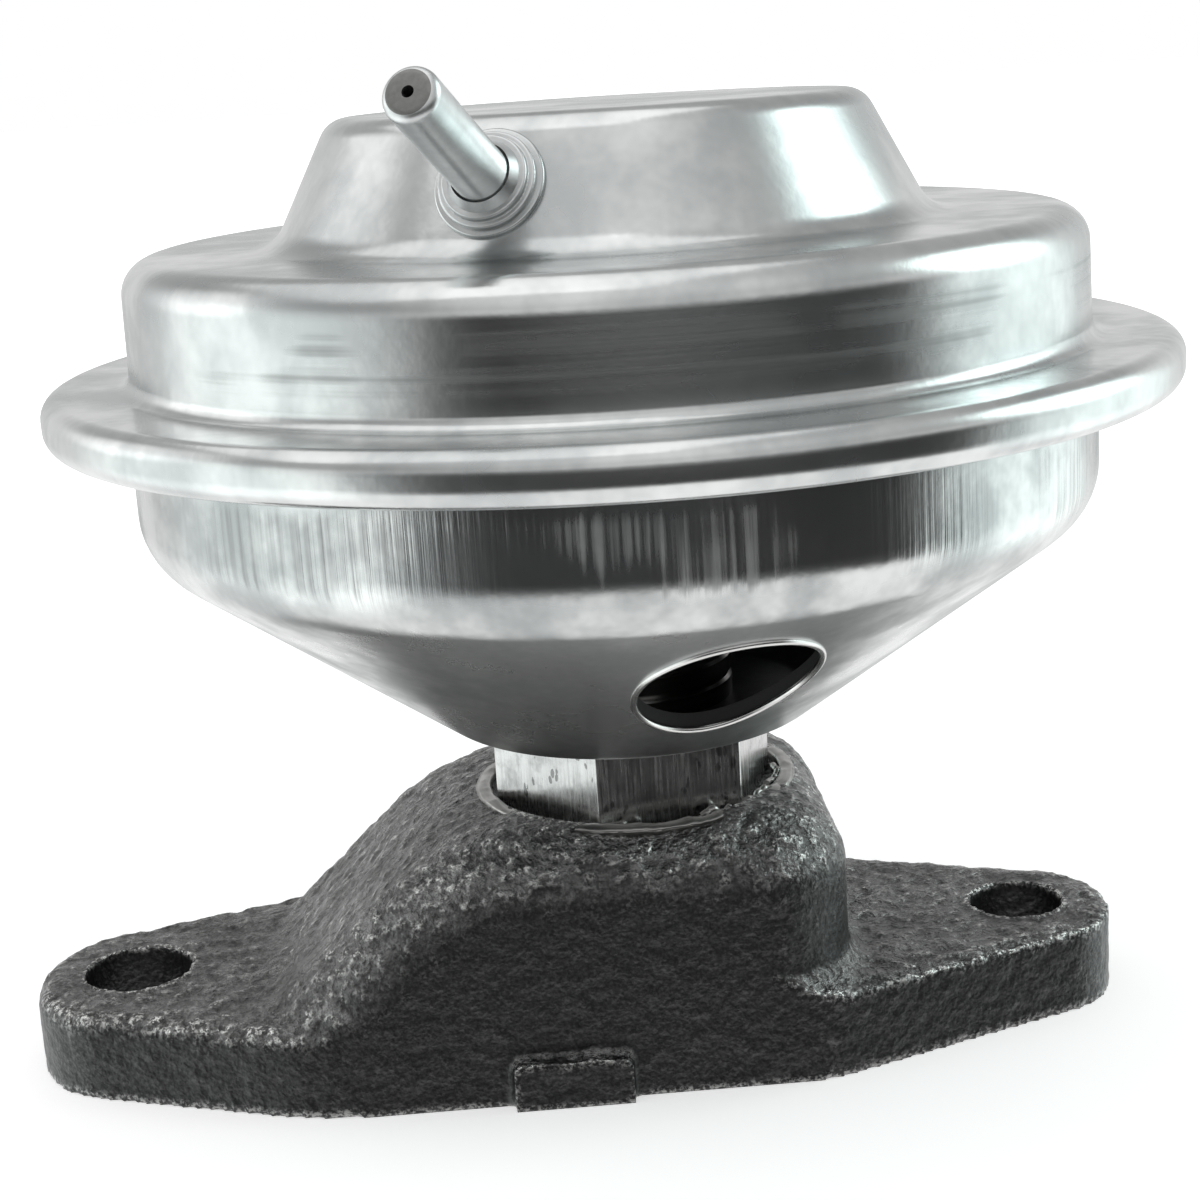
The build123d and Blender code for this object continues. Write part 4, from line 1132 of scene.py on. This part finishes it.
    def cut_rim(self) -> Object:
        """The bright edge that the cutter left round the hexagon's pocket, worn uneven."""
        r, z = self.pocket_radius, self.land_z
        profile = [(r - 0.04, self.pocket_z), (r + 0.6, self.pocket_z), (r + 1.3, z - 0.5)]
        profile += [(r + 1.0, z - 0.3), (r + 0.5, z - 0.16), (r + 0.14, z - 0.18), (r - 0.04, z - 0.3)]
        piece = turned("pocket_rim", profile, self.rim_steps)
        sizes = {"Wear": self.rim_wear * MM}
        tree, entry = growth_tree("worn_rim", sizes)
        place = add_node(tree, "GeometryNodeInputPosition").outputs[0]
        rise_noise = add_node(
            tree,
            "ShaderNodeTexNoise",
            {"Vector": place, "Scale": per_mm(self.wear_size), "Detail": 4.0, "Roughness": 0.75},
        ).outputs[0]
        rise = add_node(tree, "ShaderNodeMath", {0: rise_noise, 1: 0.56}, operation="SUBTRACT").outputs[0]
        worn_height = add_node(
            tree, "ShaderNodeMath", {0: rise, 1: entry.outputs["Wear"]}, operation="MULTIPLY"
        ).outputs[0]
        lift = add_node(tree, "ShaderNodeCombineXYZ", {2: worn_height})
        shape = add_node(tree, "GeometryNodeSetPosition", {0: entry.outputs[0], "Offset": lift.outputs[0]})
        return grow(piece, tree, shape.outputs[0], CUT_IRON, sizes)

    def chips(self) -> Object:
        """Galled slivers that the hexagon's corners raised in the pocket."""
        sizes = {
            "Radius": (self.pocket_radius - 0.55) * MM,
            "Height": self.chip_z * MM,
            "Thickness": self.chip * MM,
        }
        tree, entry = growth_tree("galled_slivers", sizes)
        size = entry.outputs
        joined = add_node(tree, "GeometryNodeJoinGeometry")
        for start, sweep in self.chip_arcs:
            arc = {"Resolution": int(abs(sweep) * 3), "Radius": size["Radius"]}
            arc |= {"Start Angle": math.radians(start), "Sweep Angle": math.radians(sweep)}
            curve = add_node(tree, "GeometryNodeCurveArc", arc).outputs[0]
            tree.links.new(curve, joined.inputs[0])
        place = add_node(tree, "GeometryNodeInputPosition").outputs[0]
        inputs = {"Vector": place, "Scale": per_mm(self.chip_bend), "Detail": 2.0}
        wander = add_node(tree, "ShaderNodeTexNoise", inputs).outputs["Color"]
        centred = add_node(
            tree, "ShaderNodeVectorMath", {0: wander, 1: (0.5, 0.5, 0.5)}, operation="SUBTRACT"
        )
        wide = add_node(
            tree,
            "ShaderNodeVectorMath",
            {0: centred.outputs[0], "Scale": self.chip_stray * MM},
            operation="SCALE",
        )
        lift = add_node(tree, "ShaderNodeCombineXYZ", {2: size["Height"]}).outputs[0]
        offset = add_node(tree, "ShaderNodeVectorMath", {0: wide.outputs[0], 1: lift}).outputs[0]
        path = add_node(
            tree, "GeometryNodeSetPosition", {0: joined.outputs[0], "Offset": offset}
        ).outputs[0]
        along = add_node(tree, "GeometryNodeSplineParameter").outputs["Factor"]
        left_over = add_node(tree, "ShaderNodeMath", {0: 1.0, 1: along}, operation="SUBTRACT").outputs[0]
        lens_shape = add_node(
            tree, "ShaderNodeMath", {0: along, 1: left_over}, operation="MULTIPLY"
        ).outputs[0]
        taper = add_node(tree, "ShaderNodeMath", {0: lens_shape, 1: 3.2}, operation="MULTIPLY").outputs[0]
        full_width = add_node(tree, "ShaderNodeMath", {0: taper, 1: 0.15}, operation="ADD").outputs[0]
        ragged_width = add_node(
            tree,
            "ShaderNodeTexNoise",
            {"Vector": place, "Scale": per_mm(self.chip_tooth), "Detail": 1.0, "Roughness": 0.5},
        ).outputs[0]
        fat = add_node(
            tree, "ShaderNodeMath", {0: full_width, 1: ragged_width}, operation="MULTIPLY"
        ).outputs[0]
        path = add_node(tree, "GeometryNodeSetCurveRadius", {0: path, "Radius": fat}).outputs[0]
        section = {"Resolution": 7, "Radius": size["Thickness"]}
        round_section = add_node(tree, "GeometryNodeCurvePrimitiveCircle", section).outputs[0]
        strip = {0: path, 1: round_section, "Fill Caps": True}
        shape = add_node(tree, "GeometryNodeCurveToMesh", strip).outputs[0]
        owner = mesh_object("galled_slivers", bpy.data.meshes.new("galled_slivers"))
        return grow(owner, tree, shape, CUT_IRON, sizes)


@dataclass
class StemGuide(SubAssembly):
    """The hexagonal guide with its bush, packing and cap.

    Attributes:
        edge: Width of the hexagon's worn edges.
    """

    edge: float = 0.14

    def build(self) -> list[Object]:
        """Dresses the bush, packing and turned parts, and builds the hexagon with its worn corners."""
        hexagon = eased(self.nodes["stem_guide"], "hexagon_guide", self.edge)
        self.keep(hexagon, Body.HOUSING, BAR_STEEL, "stem_guide")
        self.dress_nodes(TURNED_STEEL, "packing_retainer", "cup_clamp_ring", "stem_spacer")
        self.dress_nodes(BRONZE, "guide_bushing")
        self.dress_nodes(GRAPHITE, "stem_packing")
        return self.made


@dataclass
class DiaphragmHousing(SubAssembly):
    """The two sheet shells, rolled together at the rim, and the hose nipple.

    Attributes:
        vent_count: Vents in the cup.
        vent_start: Direction of the first, degrees from +X.
        vent_circle: Radius of the circle that they lie on.
        vent_radius: Radius of each, as pierced upright.
        cup_top: The cup's inside ends at this height.
        cone_radius: Radius at which the cone's outside passes cone_z.
        cone_z: Height there.
        slope: The cone's rise for each millimetre outwards.
        burr: Thickness of the burr round a vent.
        gauge: Thickness of the sheet.
        edge: Width of the cup's rounded edges.
        cover_steps: Facets of the cover in a full turn.
        cover_corners: Corners of the cover's outside as radius and height, from the axis to the hem.
        cover_rounds: Rounding of each of its inner corners.
        nipple_root: Where the nipple's axis leaves the dome's side.
        nipple_way: Its direction.
        pad_radius: Radius of the raised pad round its collar.
        pad_rise: Height of the pad.
        pad_steps: Facets of the pad in a full turn.
        wall_reach: A face this near a vent's radius is part of its sheared wall.
    """

    vent_count: int = 3
    vent_start: float = -77.8
    vent_circle: float = 28.56
    vent_radius: float = 7.2
    cup_top: float = 58.6
    cone_radius: float = 16.0
    cone_z: float = 29.7
    slope: float = 0.737
    burr: float = 0.3
    gauge: float = 1.1
    edge: float = 0.16
    cover_steps: int = 300
    cover_corners: tuple[tuple[float, float], ...] = (
        (0.0, 82.5), (22.3, 82.5), (27.7, 72.3), (40.4, 72.3),
        (40.6, 61.9), (48.0, 61.9), (48.0, 57.7), (44.6, 57.7),
    )
    cover_rounds: tuple[float, ...] = (2.6, 3.0, 2.9, 1.2, 1.7, 1.7)
    nipple_root: tuple[float, float, float] = (-9.3255, -23.0814, 77.6)
    nipple_way: tuple[float, float, float] = (-0.33106, -0.81941, 0.46789)
    pad_radius: float = 4.35
    pad_rise: float = 0.35
    pad_steps: int = 96
    wall_reach: float = 0.12

    def build(self) -> list[Object]:
        """Dresses the spring seat and collar, and builds the shells, the nipple and the vents' edges."""
        self.dress_nodes(ZINC, "spring_seat")
        self.keep(self.cover(), Body.HOUSING, ZINC, "upper_cover")
        self.keep(self.pad(), Body.HOUSING, ZINC)
        self.dress_nodes(TUBE_ZINC, "nipple_collar")
        self.keep(self.nipple(), Body.HOUSING, TUBE_ZINC, "vacuum_nipple")
        self.keep(self.cup(), Body.HOUSING, DRAWN_ZINC, "lower_cup")
        self.keep(self.burrs(), Body.HOUSING, ROLLED_BURR)
        return self.made

    def cover(self) -> Object:
        """The spun cover, hemmed under at the rim, on an even lathe grid."""
        return turned(
            "spun_cover", rounded(self.cover_corners, self.cover_rounds, self.gauge), self.cover_steps
        )

    def pad(self) -> Object:
        """The round pad raised on the dome's side under the nipple's collar."""
        r, z = self.pad_radius, self.pad_rise
        profile = [(0.0, -0.6), (r, -0.6), (r, z - 0.2), (r - 0.2, z), (0.0, z)]
        piece = turned("nipple_pad", profile, self.pad_steps)
        lean = Vector(self.nipple_way).to_track_quat("Z", "Y").to_matrix().to_4x4()
        piece.data.transform(Matrix.Translation(Vector(self.nipple_root) * MM) @ lean)
        return piece

    def nipple(self) -> Object:
        """The hose nipple, with the cut end of its tube left bare."""
        piece = copy_of(self.nodes["vacuum_nipple"], "hose_nipple")
        dress(piece, TUBE_ZINC, CUT_TUBE)
        along = Vector(self.nipple_way)
        reach = max(face.center.dot(along) for face in piece.data.polygons)
        for face in piece.data.polygons:
            if face.normal.dot(along) > 0.9 and face.center.dot(along) > reach - 0.3 * MM:
                face.material_index = 1
        return piece

    def vents(self) -> list[Vector]:
        """Middle of each vent, seen from above."""
        count = self.vent_count
        turns = [math.radians(self.vent_start + 360.0 * i / count) for i in range(count)]
        return [Vector((math.cos(t), math.sin(t))) * self.vent_circle for t in turns]

    def burrs(self) -> Object:
        """The smooth burr that the punch rolled round each vent, on the cone's outside."""
        steps, points, edges, widths = 160, [], [], []
        reach = self.vent_radius + 0.3 * self.burr
        for vent in self.vents():
            first = len(points)
            for step in range(steps):
                turn = math.tau * step / steps
                spot = vent + Vector((math.cos(turn), math.sin(turn))) * reach
                z = self.cone_z + self.slope * (spot.length - self.cone_radius)
                points.append((spot.x * MM, spot.y * MM, z * MM))
                outwards = (spot - vent).normalized().dot(vent.normalized())
                widths.append(0.8 - 0.45 * outwards)
                edges.append((first + step, first + (step + 1) % steps))
        mesh = bpy.data.meshes.new("vent_burrs")
        mesh.from_pydata(points, edges, [])
        mesh.attributes.new("radius", "FLOAT", "POINT").data.foreach_set("value", widths)
        sizes = {"Thickness": self.burr * MM}
        tree, entry = growth_tree("rolled_burr", sizes)
        path = add_node(tree, "GeometryNodeMeshToCurve", {0: entry.outputs[0]}).outputs[0]
        section = {"Resolution": 12, "Radius": entry.outputs["Thickness"]}
        wire = add_node(tree, "GeometryNodeCurvePrimitiveCircle", section).outputs[0]
        shape = add_node(tree, "GeometryNodeCurveToMesh", {0: path, 1: wire}).outputs[0]
        return grow(mesh_object("vent_burrs", mesh), tree, shape, ROLLED_BURR, sizes)

    def cup(self) -> Object:
        """The drawn cup, its vents' walls sheared and its inside nearly black."""
        piece = eased(self.nodes["lower_cup"], "drawn_cup", self.edge)
        vents = self.vents()
        dress(piece, DRAWN_ZINC, SHEARED, DARK_INSIDE_ZINC)
        for face in piece.data.polygons:
            middle = face.center / MM
            off = min((middle.xy - vent).length for vent in vents)
            if abs(off - self.vent_radius) < self.wall_reach and abs(face.normal.z) < 0.2:
                face.material_index = 1
            elif self.faces_in(face, middle):
                face.material_index = 2
        return piece

    def faces_in(self, face: bpy.types.MeshPolygon, middle: Vector) -> bool:
        """Whether a face of the cup looks up or towards the axis, under its rim."""
        return middle.z < self.cup_top and (face.normal.z > 0.3 or face.normal.xy.dot(middle.xy) < -2.0)


@dataclass
class MovingStem(SubAssembly):
    """The stem with its pintle, deflector and diaphragm plates."""

    def build(self) -> list[Object]:
        """Dresses the stem's nodes."""
        self.dress_nodes(STAINLESS, "valve_stem", "pintle", "soot_deflector")
        self.dress_nodes(ZINC, "lower_plate", "upper_plate", "plate_washer")
        return self.made


@dataclass
class FlexingParts(SubAssembly):
    """The diaphragm and the return spring, which bend between the housing and the stem.

    Attributes:
        coil_radius: From the axis to the wire's centre.
        wire_radius: Radius of the wire.
        foot_z: Ground lower end of the spring.
        head_z: Ground upper end of the spring.
        turns: Coils of the spring.
        eased_share: Share of the rise that eases in and out, which winds the end coils close.
        end_share: Height of the end coils' centre over the ground face, as a share of wire_radius.
        edge_z: The diaphragm follows the housing above this height.
        centre_z: It follows the stem below this height.
    """

    coil_radius: float = 16.6
    wire_radius: float = 1.1
    foot_z: float = 55.1
    head_z: float = 80.5
    turns: float = 5.0
    eased_share: float = 0.55
    end_share: float = 0.4
    edge_z: float = 61.0
    centre_z: float = 54.6

    def build(self) -> list[Object]:
        """Builds the spring and the diaphragm."""
        self.keep_bending(self.spring(), SPRING_WIRE, self.head_z, self.foot_z, "return_spring")
        self.keep_bending(self.diaphragm(), RUBBER, self.edge_z, self.centre_z, "diaphragm")
        return self.made

    def keep_bending(self, piece: Object, finish: Finish, still: float, lifted: float, node: str) -> None:
        """Dresses a piece, hides the CAD node that it stands for and keeps it where it stands.

        Args:
            piece: The piece.
            finish: Its finish.
            still: Height where it follows the housing; not used.
            lifted: Height where it follows the stem; not used.
            node: The CAD node that it stands for.
        """
        dress(piece, finish)
        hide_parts(node)
        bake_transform(piece)
        self.made.append(piece)

    def spring(self) -> Object:
        """A coil spring whose end coils lie close and are ground flat."""
        sizes = {"Coil": self.coil_radius * MM, "Wire": self.wire_radius * MM, "Turns": self.turns}
        sizes |= {"Foot": self.foot_z * MM, "Head": self.head_z * MM}
        tree, entry = growth_tree("coil_spring", sizes)
        size = entry.outputs
        coil = {"Resolution": 72, "Rotations": size["Turns"], "Height": 0.0}
        coil |= {"Start Radius": size["Coil"], "End Radius": size["Coil"]}
        path = add_node(tree, "GeometryNodeCurveSpiral", coil).outputs[0]
        along = add_node(tree, "GeometryNodeSplineParameter").outputs["Factor"]
        ends = add_node(
            tree, "ShaderNodeMapRange", {"Value": along}, interpolation_type="SMOOTHSTEP"
        ).outputs[0]
        wound_close = add_node(
            tree, "ShaderNodeMath", {0: ends, 1: self.eased_share}, operation="MULTIPLY"
        ).outputs[0]
        wound_even = add_node(
            tree, "ShaderNodeMath", {0: along, 1: 1.0 - self.eased_share}, operation="MULTIPLY"
        ).outputs[0]
        rise = add_node(tree, "ShaderNodeMath", {0: wound_close, 1: wound_even}, operation="ADD").outputs[0]
        inset = add_node(
            tree, "ShaderNodeMath", {0: size["Wire"], 1: self.end_share}, operation="MULTIPLY"
        ).outputs[0]
        low = add_node(tree, "ShaderNodeMath", {0: size["Foot"], 1: inset}, operation="ADD").outputs[0]
        high = add_node(
            tree, "ShaderNodeMath", {0: size["Head"], 1: inset}, operation="SUBTRACT"
        ).outputs[0]
        names = {"Value": rise, "To Min": low, "To Max": high}
        height = add_node(tree, "ShaderNodeMapRange", names).outputs[0]
        lift = add_node(tree, "ShaderNodeCombineXYZ", {2: height}).outputs[0]
        path = add_node(tree, "GeometryNodeSetPosition", {0: path, "Offset": lift}).outputs[0]
        ring = {"Resolution": 20, "Radius": size["Wire"]}
        section = add_node(tree, "GeometryNodeCurvePrimitiveCircle", ring).outputs[0]
        wire = add_node(
            tree, "GeometryNodeCurveToMesh", {0: path, 1: section, "Fill Caps": True}
        ).outputs[0]
        point = add_node(tree, "GeometryNodeInputPosition").outputs[0]
        axes = add_node(tree, "ShaderNodeSeparateXYZ", {0: point})
        topped = add_node(
            tree, "ShaderNodeMath", {0: axes.outputs[2], 1: size["Head"]}, operation="MINIMUM"
        ).outputs[0]
        flat = add_node(
            tree, "ShaderNodeMath", {0: topped, 1: size["Foot"]}, operation="MAXIMUM"
        ).outputs[0]
        place = add_node(
            tree, "ShaderNodeCombineXYZ", {0: axes.outputs[0], 1: axes.outputs[1], 2: flat}
        ).outputs[0]
        ground = add_node(tree, "GeometryNodeSetPosition", {0: wire, "Position": place}).outputs[0]
        owner = mesh_object("coil_spring", bpy.data.meshes.new("coil_spring"))
        return grow(owner, tree, ground, SPRING_WIRE, sizes)

    def diaphragm(self) -> Object:
        """The moulded rubber sheet."""
        return copy_of(self.nodes["diaphragm"], "rolling_diaphragm")


# ---------------------------------------------------------------- studio
@dataclass(frozen=True)
class SoftLight:
    """One rectangular soft light, aimed at the valve.

    Attributes:
        name: Its name.
        place: Its centre, mm.
        size: Width and height, mm.
        power: Watts.
    """

    name: str
    place: tuple[float, float, float]
    size: tuple[float, float]
    power: float

    def hang(self, target: Vector) -> None:
        """Hangs the light and turns it to the target, in metres."""
        lamp = bpy.data.lights.new(self.name, "AREA")
        lamp.shape = "RECTANGLE"
        lamp.size, lamp.size_y = self.size[0] * MM, self.size[1] * MM
        lamp.energy = self.power
        holder = bpy.data.objects.new(self.name, lamp)
        bpy.context.scene.collection.objects.link(holder)
        holder.location = Vector(self.place) * MM
        holder.rotation_euler = (target - holder.location).to_track_quat("-Z", "Y").to_euler()


@dataclass(frozen=True)
class Glow:
    """A soft bright patch of the room round the valve.

    Attributes:
        toward: Direction from the valve.
        core: Angle from there within which it is full, degrees.
        edge: Angle at which it has faded, degrees.
        strength: Its brightness.
        colour: Its colour, sRGB hex.
    """

    toward: tuple[float, float, float]
    core: float
    edge: float
    strength: float
    colour: str = "ffffff"


@dataclass(frozen=True)
class Studio:
    """A pale studio: white backdrop, pale floor, soft lights, and one camera in front.

    Attributes:
        eye: The camera's place, mm.
        azimuth: Its turn from +Y towards +X, degrees.
        pitch: How far it looks down, degrees.
        roll: How far it leans, degrees.
        lens: Its focal length on a 36 mm sensor, mm.
        centre: Middle of the valve, mm.
        lights: The soft lights.
        low: Brightness of the room near the floor.
        horizon: Its brightness level with the valve.
        high: Share of that left higher up.
        dark: Share of it left on the dark side, towards -Y.
        dark_turns: Turns from -Y between which the dark side fades in, and then out, radians.
        dark_rises: Rises, as Z of the direction, between which it does the same.
        low_band: Rises between which low turns to horizon.
        high_band: Rises over which the share falls to high.
        glows: Bright patches of the room.
    """

    eye: tuple[float, float, float] = (-9.67, -184.5, 86.8)
    azimuth: float = 2.33
    pitch: float = 14.38
    roll: float = 3.59
    lens: float = 64.48
    centre: tuple[float, float, float] = (0.0, 0.0, 45.0)
    lights: tuple[SoftLight, ...] = (
        SoftLight("top_soft_light", (-120.0, 40.0, 520.0), (560.0, 560.0), 0.7),
    )
    low: float = 1.25
    horizon: float = 0.8
    high: float = 0.6
    dark: float = 0.045
    dark_turns: tuple[float, float, float, float] = (-1.2, -0.5, 1.0, 1.6)
    dark_rises: tuple[float, float, float, float] = (-0.62, -0.4, 0.0, 0.4)
    low_band: tuple[float, float] = (-0.5, -0.1)
    high_band: tuple[float, float] = (0.2, 0.45)
    glows: tuple[Glow, ...] = (
        Glow((0.90, 0.16, 0.41), 9.0, 24.0, 3.4, "ecfffd"),
        Glow((-0.87, 0.36, 0.33), 6.0, 26.0, 0.9),
        Glow((-0.97, 0.0, -0.24), 14.0, 46.0, 0.65, "f0fffd"),
        Glow((0.95, 0.25, -0.2), 10.0, 36.0, 0.8, "e8fffc"),
        Glow((0.0, -0.3, 1.0), 22.0, 52.0, 0.22),
        Glow((0.1, -0.85, 0.6), 8.0, 50.0, 0.28),
    )

    def build(self) -> None:
        """Sets the world, the floor, the lights and the camera."""
        self.set_world()
        self.lay_floor()
        for light in self.lights:
            light.hang(Vector(self.centre) * MM)
        self.place_camera()
        view = bpy.context.scene.view_settings
        view.view_transform = "Standard"

    def set_world(self) -> None:
        """White to the camera; to all else a pale room, with a dark side towards -Y and bright patches."""
        world = bpy.data.worlds.new("studio")
        bpy.context.scene.world = world
        world.use_nodes = True
        tree = world.node_tree
        tree.nodes.clear()
        way = add_node(tree, "ShaderNodeTexCoord").outputs["Generated"]
        axes = add_node(tree, "ShaderNodeSeparateXYZ", {0: way}).outputs
        towards_front = add_node(
            tree, "ShaderNodeMath", {0: axes[1], 1: -1.0}, operation="MULTIPLY"
        ).outputs[0]
        turn = add_node(
            tree, "ShaderNodeMath", {0: axes[0], 1: towards_front}, operation="ARCTAN2"
        ).outputs[0]
        from_left = add_node(
            tree,
            "ShaderNodeMapRange",
            {0: turn, 1: self.dark_turns[0], 2: self.dark_turns[1]},
            interpolation_type="SMOOTHSTEP",
        ).outputs[0]
        to_right = add_node(
            tree,
            "ShaderNodeMapRange",
            {0: turn, 1: self.dark_turns[2], 2: self.dark_turns[3], 3: 1.0, 4: 0.0},
            interpolation_type="SMOOTHSTEP",
        ).outputs[0]
        sides = add_node(
            tree, "ShaderNodeMath", {0: from_left, 1: to_right}, operation="MULTIPLY"
        ).outputs[0]
        over_floor = add_node(
            tree,
            "ShaderNodeMapRange",
            {0: axes[2], 1: self.dark_rises[0], 2: self.dark_rises[1]},
            interpolation_type="SMOOTHSTEP",
        ).outputs[0]
        under_ceiling = add_node(
            tree,
            "ShaderNodeMapRange",
            {0: axes[2], 1: self.dark_rises[2], 2: self.dark_rises[3], 3: 1.0, 4: 0.0},
            interpolation_type="SMOOTHSTEP",
        ).outputs[0]
        level = add_node(
            tree, "ShaderNodeMath", {0: over_floor, 1: under_ceiling}, operation="MULTIPLY"
        ).outputs[0]
        dark_side = add_node(tree, "ShaderNodeMath", {0: sides, 1: level}, operation="MULTIPLY").outputs[0]
        lit = add_node(
            tree,
            "ShaderNodeMapRange",
            {0: dark_side, 1: 0.0, 2: 1.0, 3: 1.0, 4: self.dark},
            interpolation_type="SMOOTHSTEP",
        ).outputs[0]
        below = add_node(
            tree,
            "ShaderNodeMapRange",
            {0: axes[2], 1: self.low_band[0], 2: self.low_band[1], 3: self.low, 4: self.horizon},
            interpolation_type="SMOOTHSTEP",
        ).outputs[0]
        ceiling_fade = add_node(
            tree,
            "ShaderNodeMapRange",
            {0: axes[2], 1: self.high_band[0], 2: self.high_band[1], 3: 1.0, 4: self.high},
            interpolation_type="SMOOTHSTEP",
        ).outputs[0]
        room = add_node(
            tree, "ShaderNodeMath", {0: below, 1: ceiling_fade}, operation="MULTIPLY"
        ).outputs[0]
        grey = add_node(tree, "ShaderNodeMath", {0: room, 1: lit}, operation="MULTIPLY").outputs[0]
        total = add_node(tree, "ShaderNodeCombineXYZ", {0: grey, 1: grey, 2: grey}).outputs[0]
        for glow in self.glows:
            toward = Vector(glow.toward).normalized()
            near = add_node(
                tree, "ShaderNodeVectorMath", {0: way, 1: toward}, operation="DOT_PRODUCT"
            ).outputs["Value"]
            edge, core = (math.cos(math.radians(v)) for v in (glow.edge, glow.core))
            share = add_node(
                tree,
                "ShaderNodeMapRange",
                {0: near, 1: edge, 2: core, 4: glow.strength},
                interpolation_type="SMOOTHSTEP",
            ).outputs[0]
            tint = linear(glow.colour)[:3]
            added = add_node(
                tree, "ShaderNodeVectorMath", {0: tint, "Scale": share}, operation="SCALE"
            ).outputs[0]
            total = add_node(tree, "ShaderNodeVectorMath", {0: total, 1: added}).outputs[0]
        seen = add_node(tree, "ShaderNodeLightPath").outputs["Is Camera Ray"]
        colour = add_node(
            tree, "ShaderNodeMix", {0: seen, 6: total, 7: (1.0, 1.0, 1.0, 1.0)}, data_type="RGBA"
        ).outputs[2]
        sky = add_node(tree, "ShaderNodeBackground", {"Color": colour, "Strength": 1.0}).outputs[0]
        add_node(tree, "ShaderNodeOutputWorld", {"Surface": sky})

    def lay_floor(self) -> None:
        """A pale floor under the base, which takes its soft shadow."""
        mesh = bpy.data.meshes.new("floor")
        reach, z = 4.0, -0.02 * MM
        square = [(-reach, -reach, z), (reach, -reach, z), (reach, reach, z), (-reach, reach, z)]
        mesh.from_pydata(square, [], [(0, 1, 2, 3)])
        floor = mesh_object("floor", mesh)
        floor.visible_glossy = False
        floor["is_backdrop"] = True
        made = bpy.data.materials.new("pale_paper_floor")
        made.use_nodes = True
        tree = made.node_tree
        tree.nodes.clear()
        place = add_node(tree, "ShaderNodeTexCoord").outputs["Object"]
        away = add_node(tree, "ShaderNodeVectorMath", {0: place}, operation="LENGTH").outputs["Value"]
        # Out past 400 mm the paper glows enough to meet the white behind it.
        white = add_node(
            tree,
            "ShaderNodeMapRange",
            {0: away, 1: 90.0 * MM, 2: 400.0 * MM, 3: 0.5},
            interpolation_type="SMOOTHSTEP",
        ).outputs[0]
        seen = add_node(tree, "ShaderNodeLightPath").outputs["Is Camera Ray"]
        matt = add_node(tree, "ShaderNodeBsdfDiffuse", {"Color": linear("dedede")}).outputs[0]
        paper_glow = add_node(tree, "ShaderNodeMath", {0: seen, 1: white}, operation="MULTIPLY").outputs[0]
        glow = add_node(tree, "ShaderNodeEmission", {"Strength": paper_glow}).outputs[0]
        paper = add_node(tree, "ShaderNodeAddShader", {0: matt, 1: glow}).outputs[0]
        add_node(tree, "ShaderNodeOutputMaterial", {"Surface": paper})
        mesh.materials.append(made)

    def place_camera(self) -> None:
        """Puts the camera in front of the valve and makes it the scene's."""
        turn, down, lean = (math.radians(v) for v in (self.azimuth, self.pitch, self.roll))
        ahead = Vector((math.sin(turn) * math.cos(down), math.cos(turn) * math.cos(down), -math.sin(down)))
        level = Vector((math.cos(turn), -math.sin(turn), 0.0))
        above = level.cross(ahead)
        right = math.cos(lean) * level - math.sin(lean) * above
        up = math.sin(lean) * level + math.cos(lean) * above
        lens = bpy.data.cameras.new("front_camera")
        lens.lens, lens.sensor_width = self.lens, 36.0
        lens.clip_start, lens.clip_end = 0.01, 20.0
        camera = bpy.data.objects.new("front_camera", lens)
        bpy.context.scene.collection.objects.link(camera)
        place = Matrix.Translation(Vector(self.eye) * MM)
        camera.matrix_world = place @ Matrix((right, up, -ahead)).transposed().to_4x4()
        bpy.context.scene.camera = camera


# ---------------------------------------------------------------- the whole valve
def corners() -> list[list[float]]:
    """Lowest and highest corner of the shown valve, in metres."""
    bpy.context.view_layer.update()
    return [list(corner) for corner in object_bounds()]


def main() -> None:
    """Builds the valve's looks round its frame, group by group, and the studio."""
    logging.basicConfig(level=logging.INFO, format="%(levelname)s %(message)s")
    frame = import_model()
    nodes = frame["nodes"]
    sizes = {"loaded": corners()}
    for group in (CastBase, StemGuide, DiaphragmHousing, MovingStem, FlexingParts):
        pieces = group(nodes).build()
        for piece in pieces:
            LOG.info("%s: %s, %d faces", group.__name__, piece.name, len(piece.data.polygons))
    Studio().build()
    sizes["finished"] = corners()


if __name__ == "__main__":
    main()
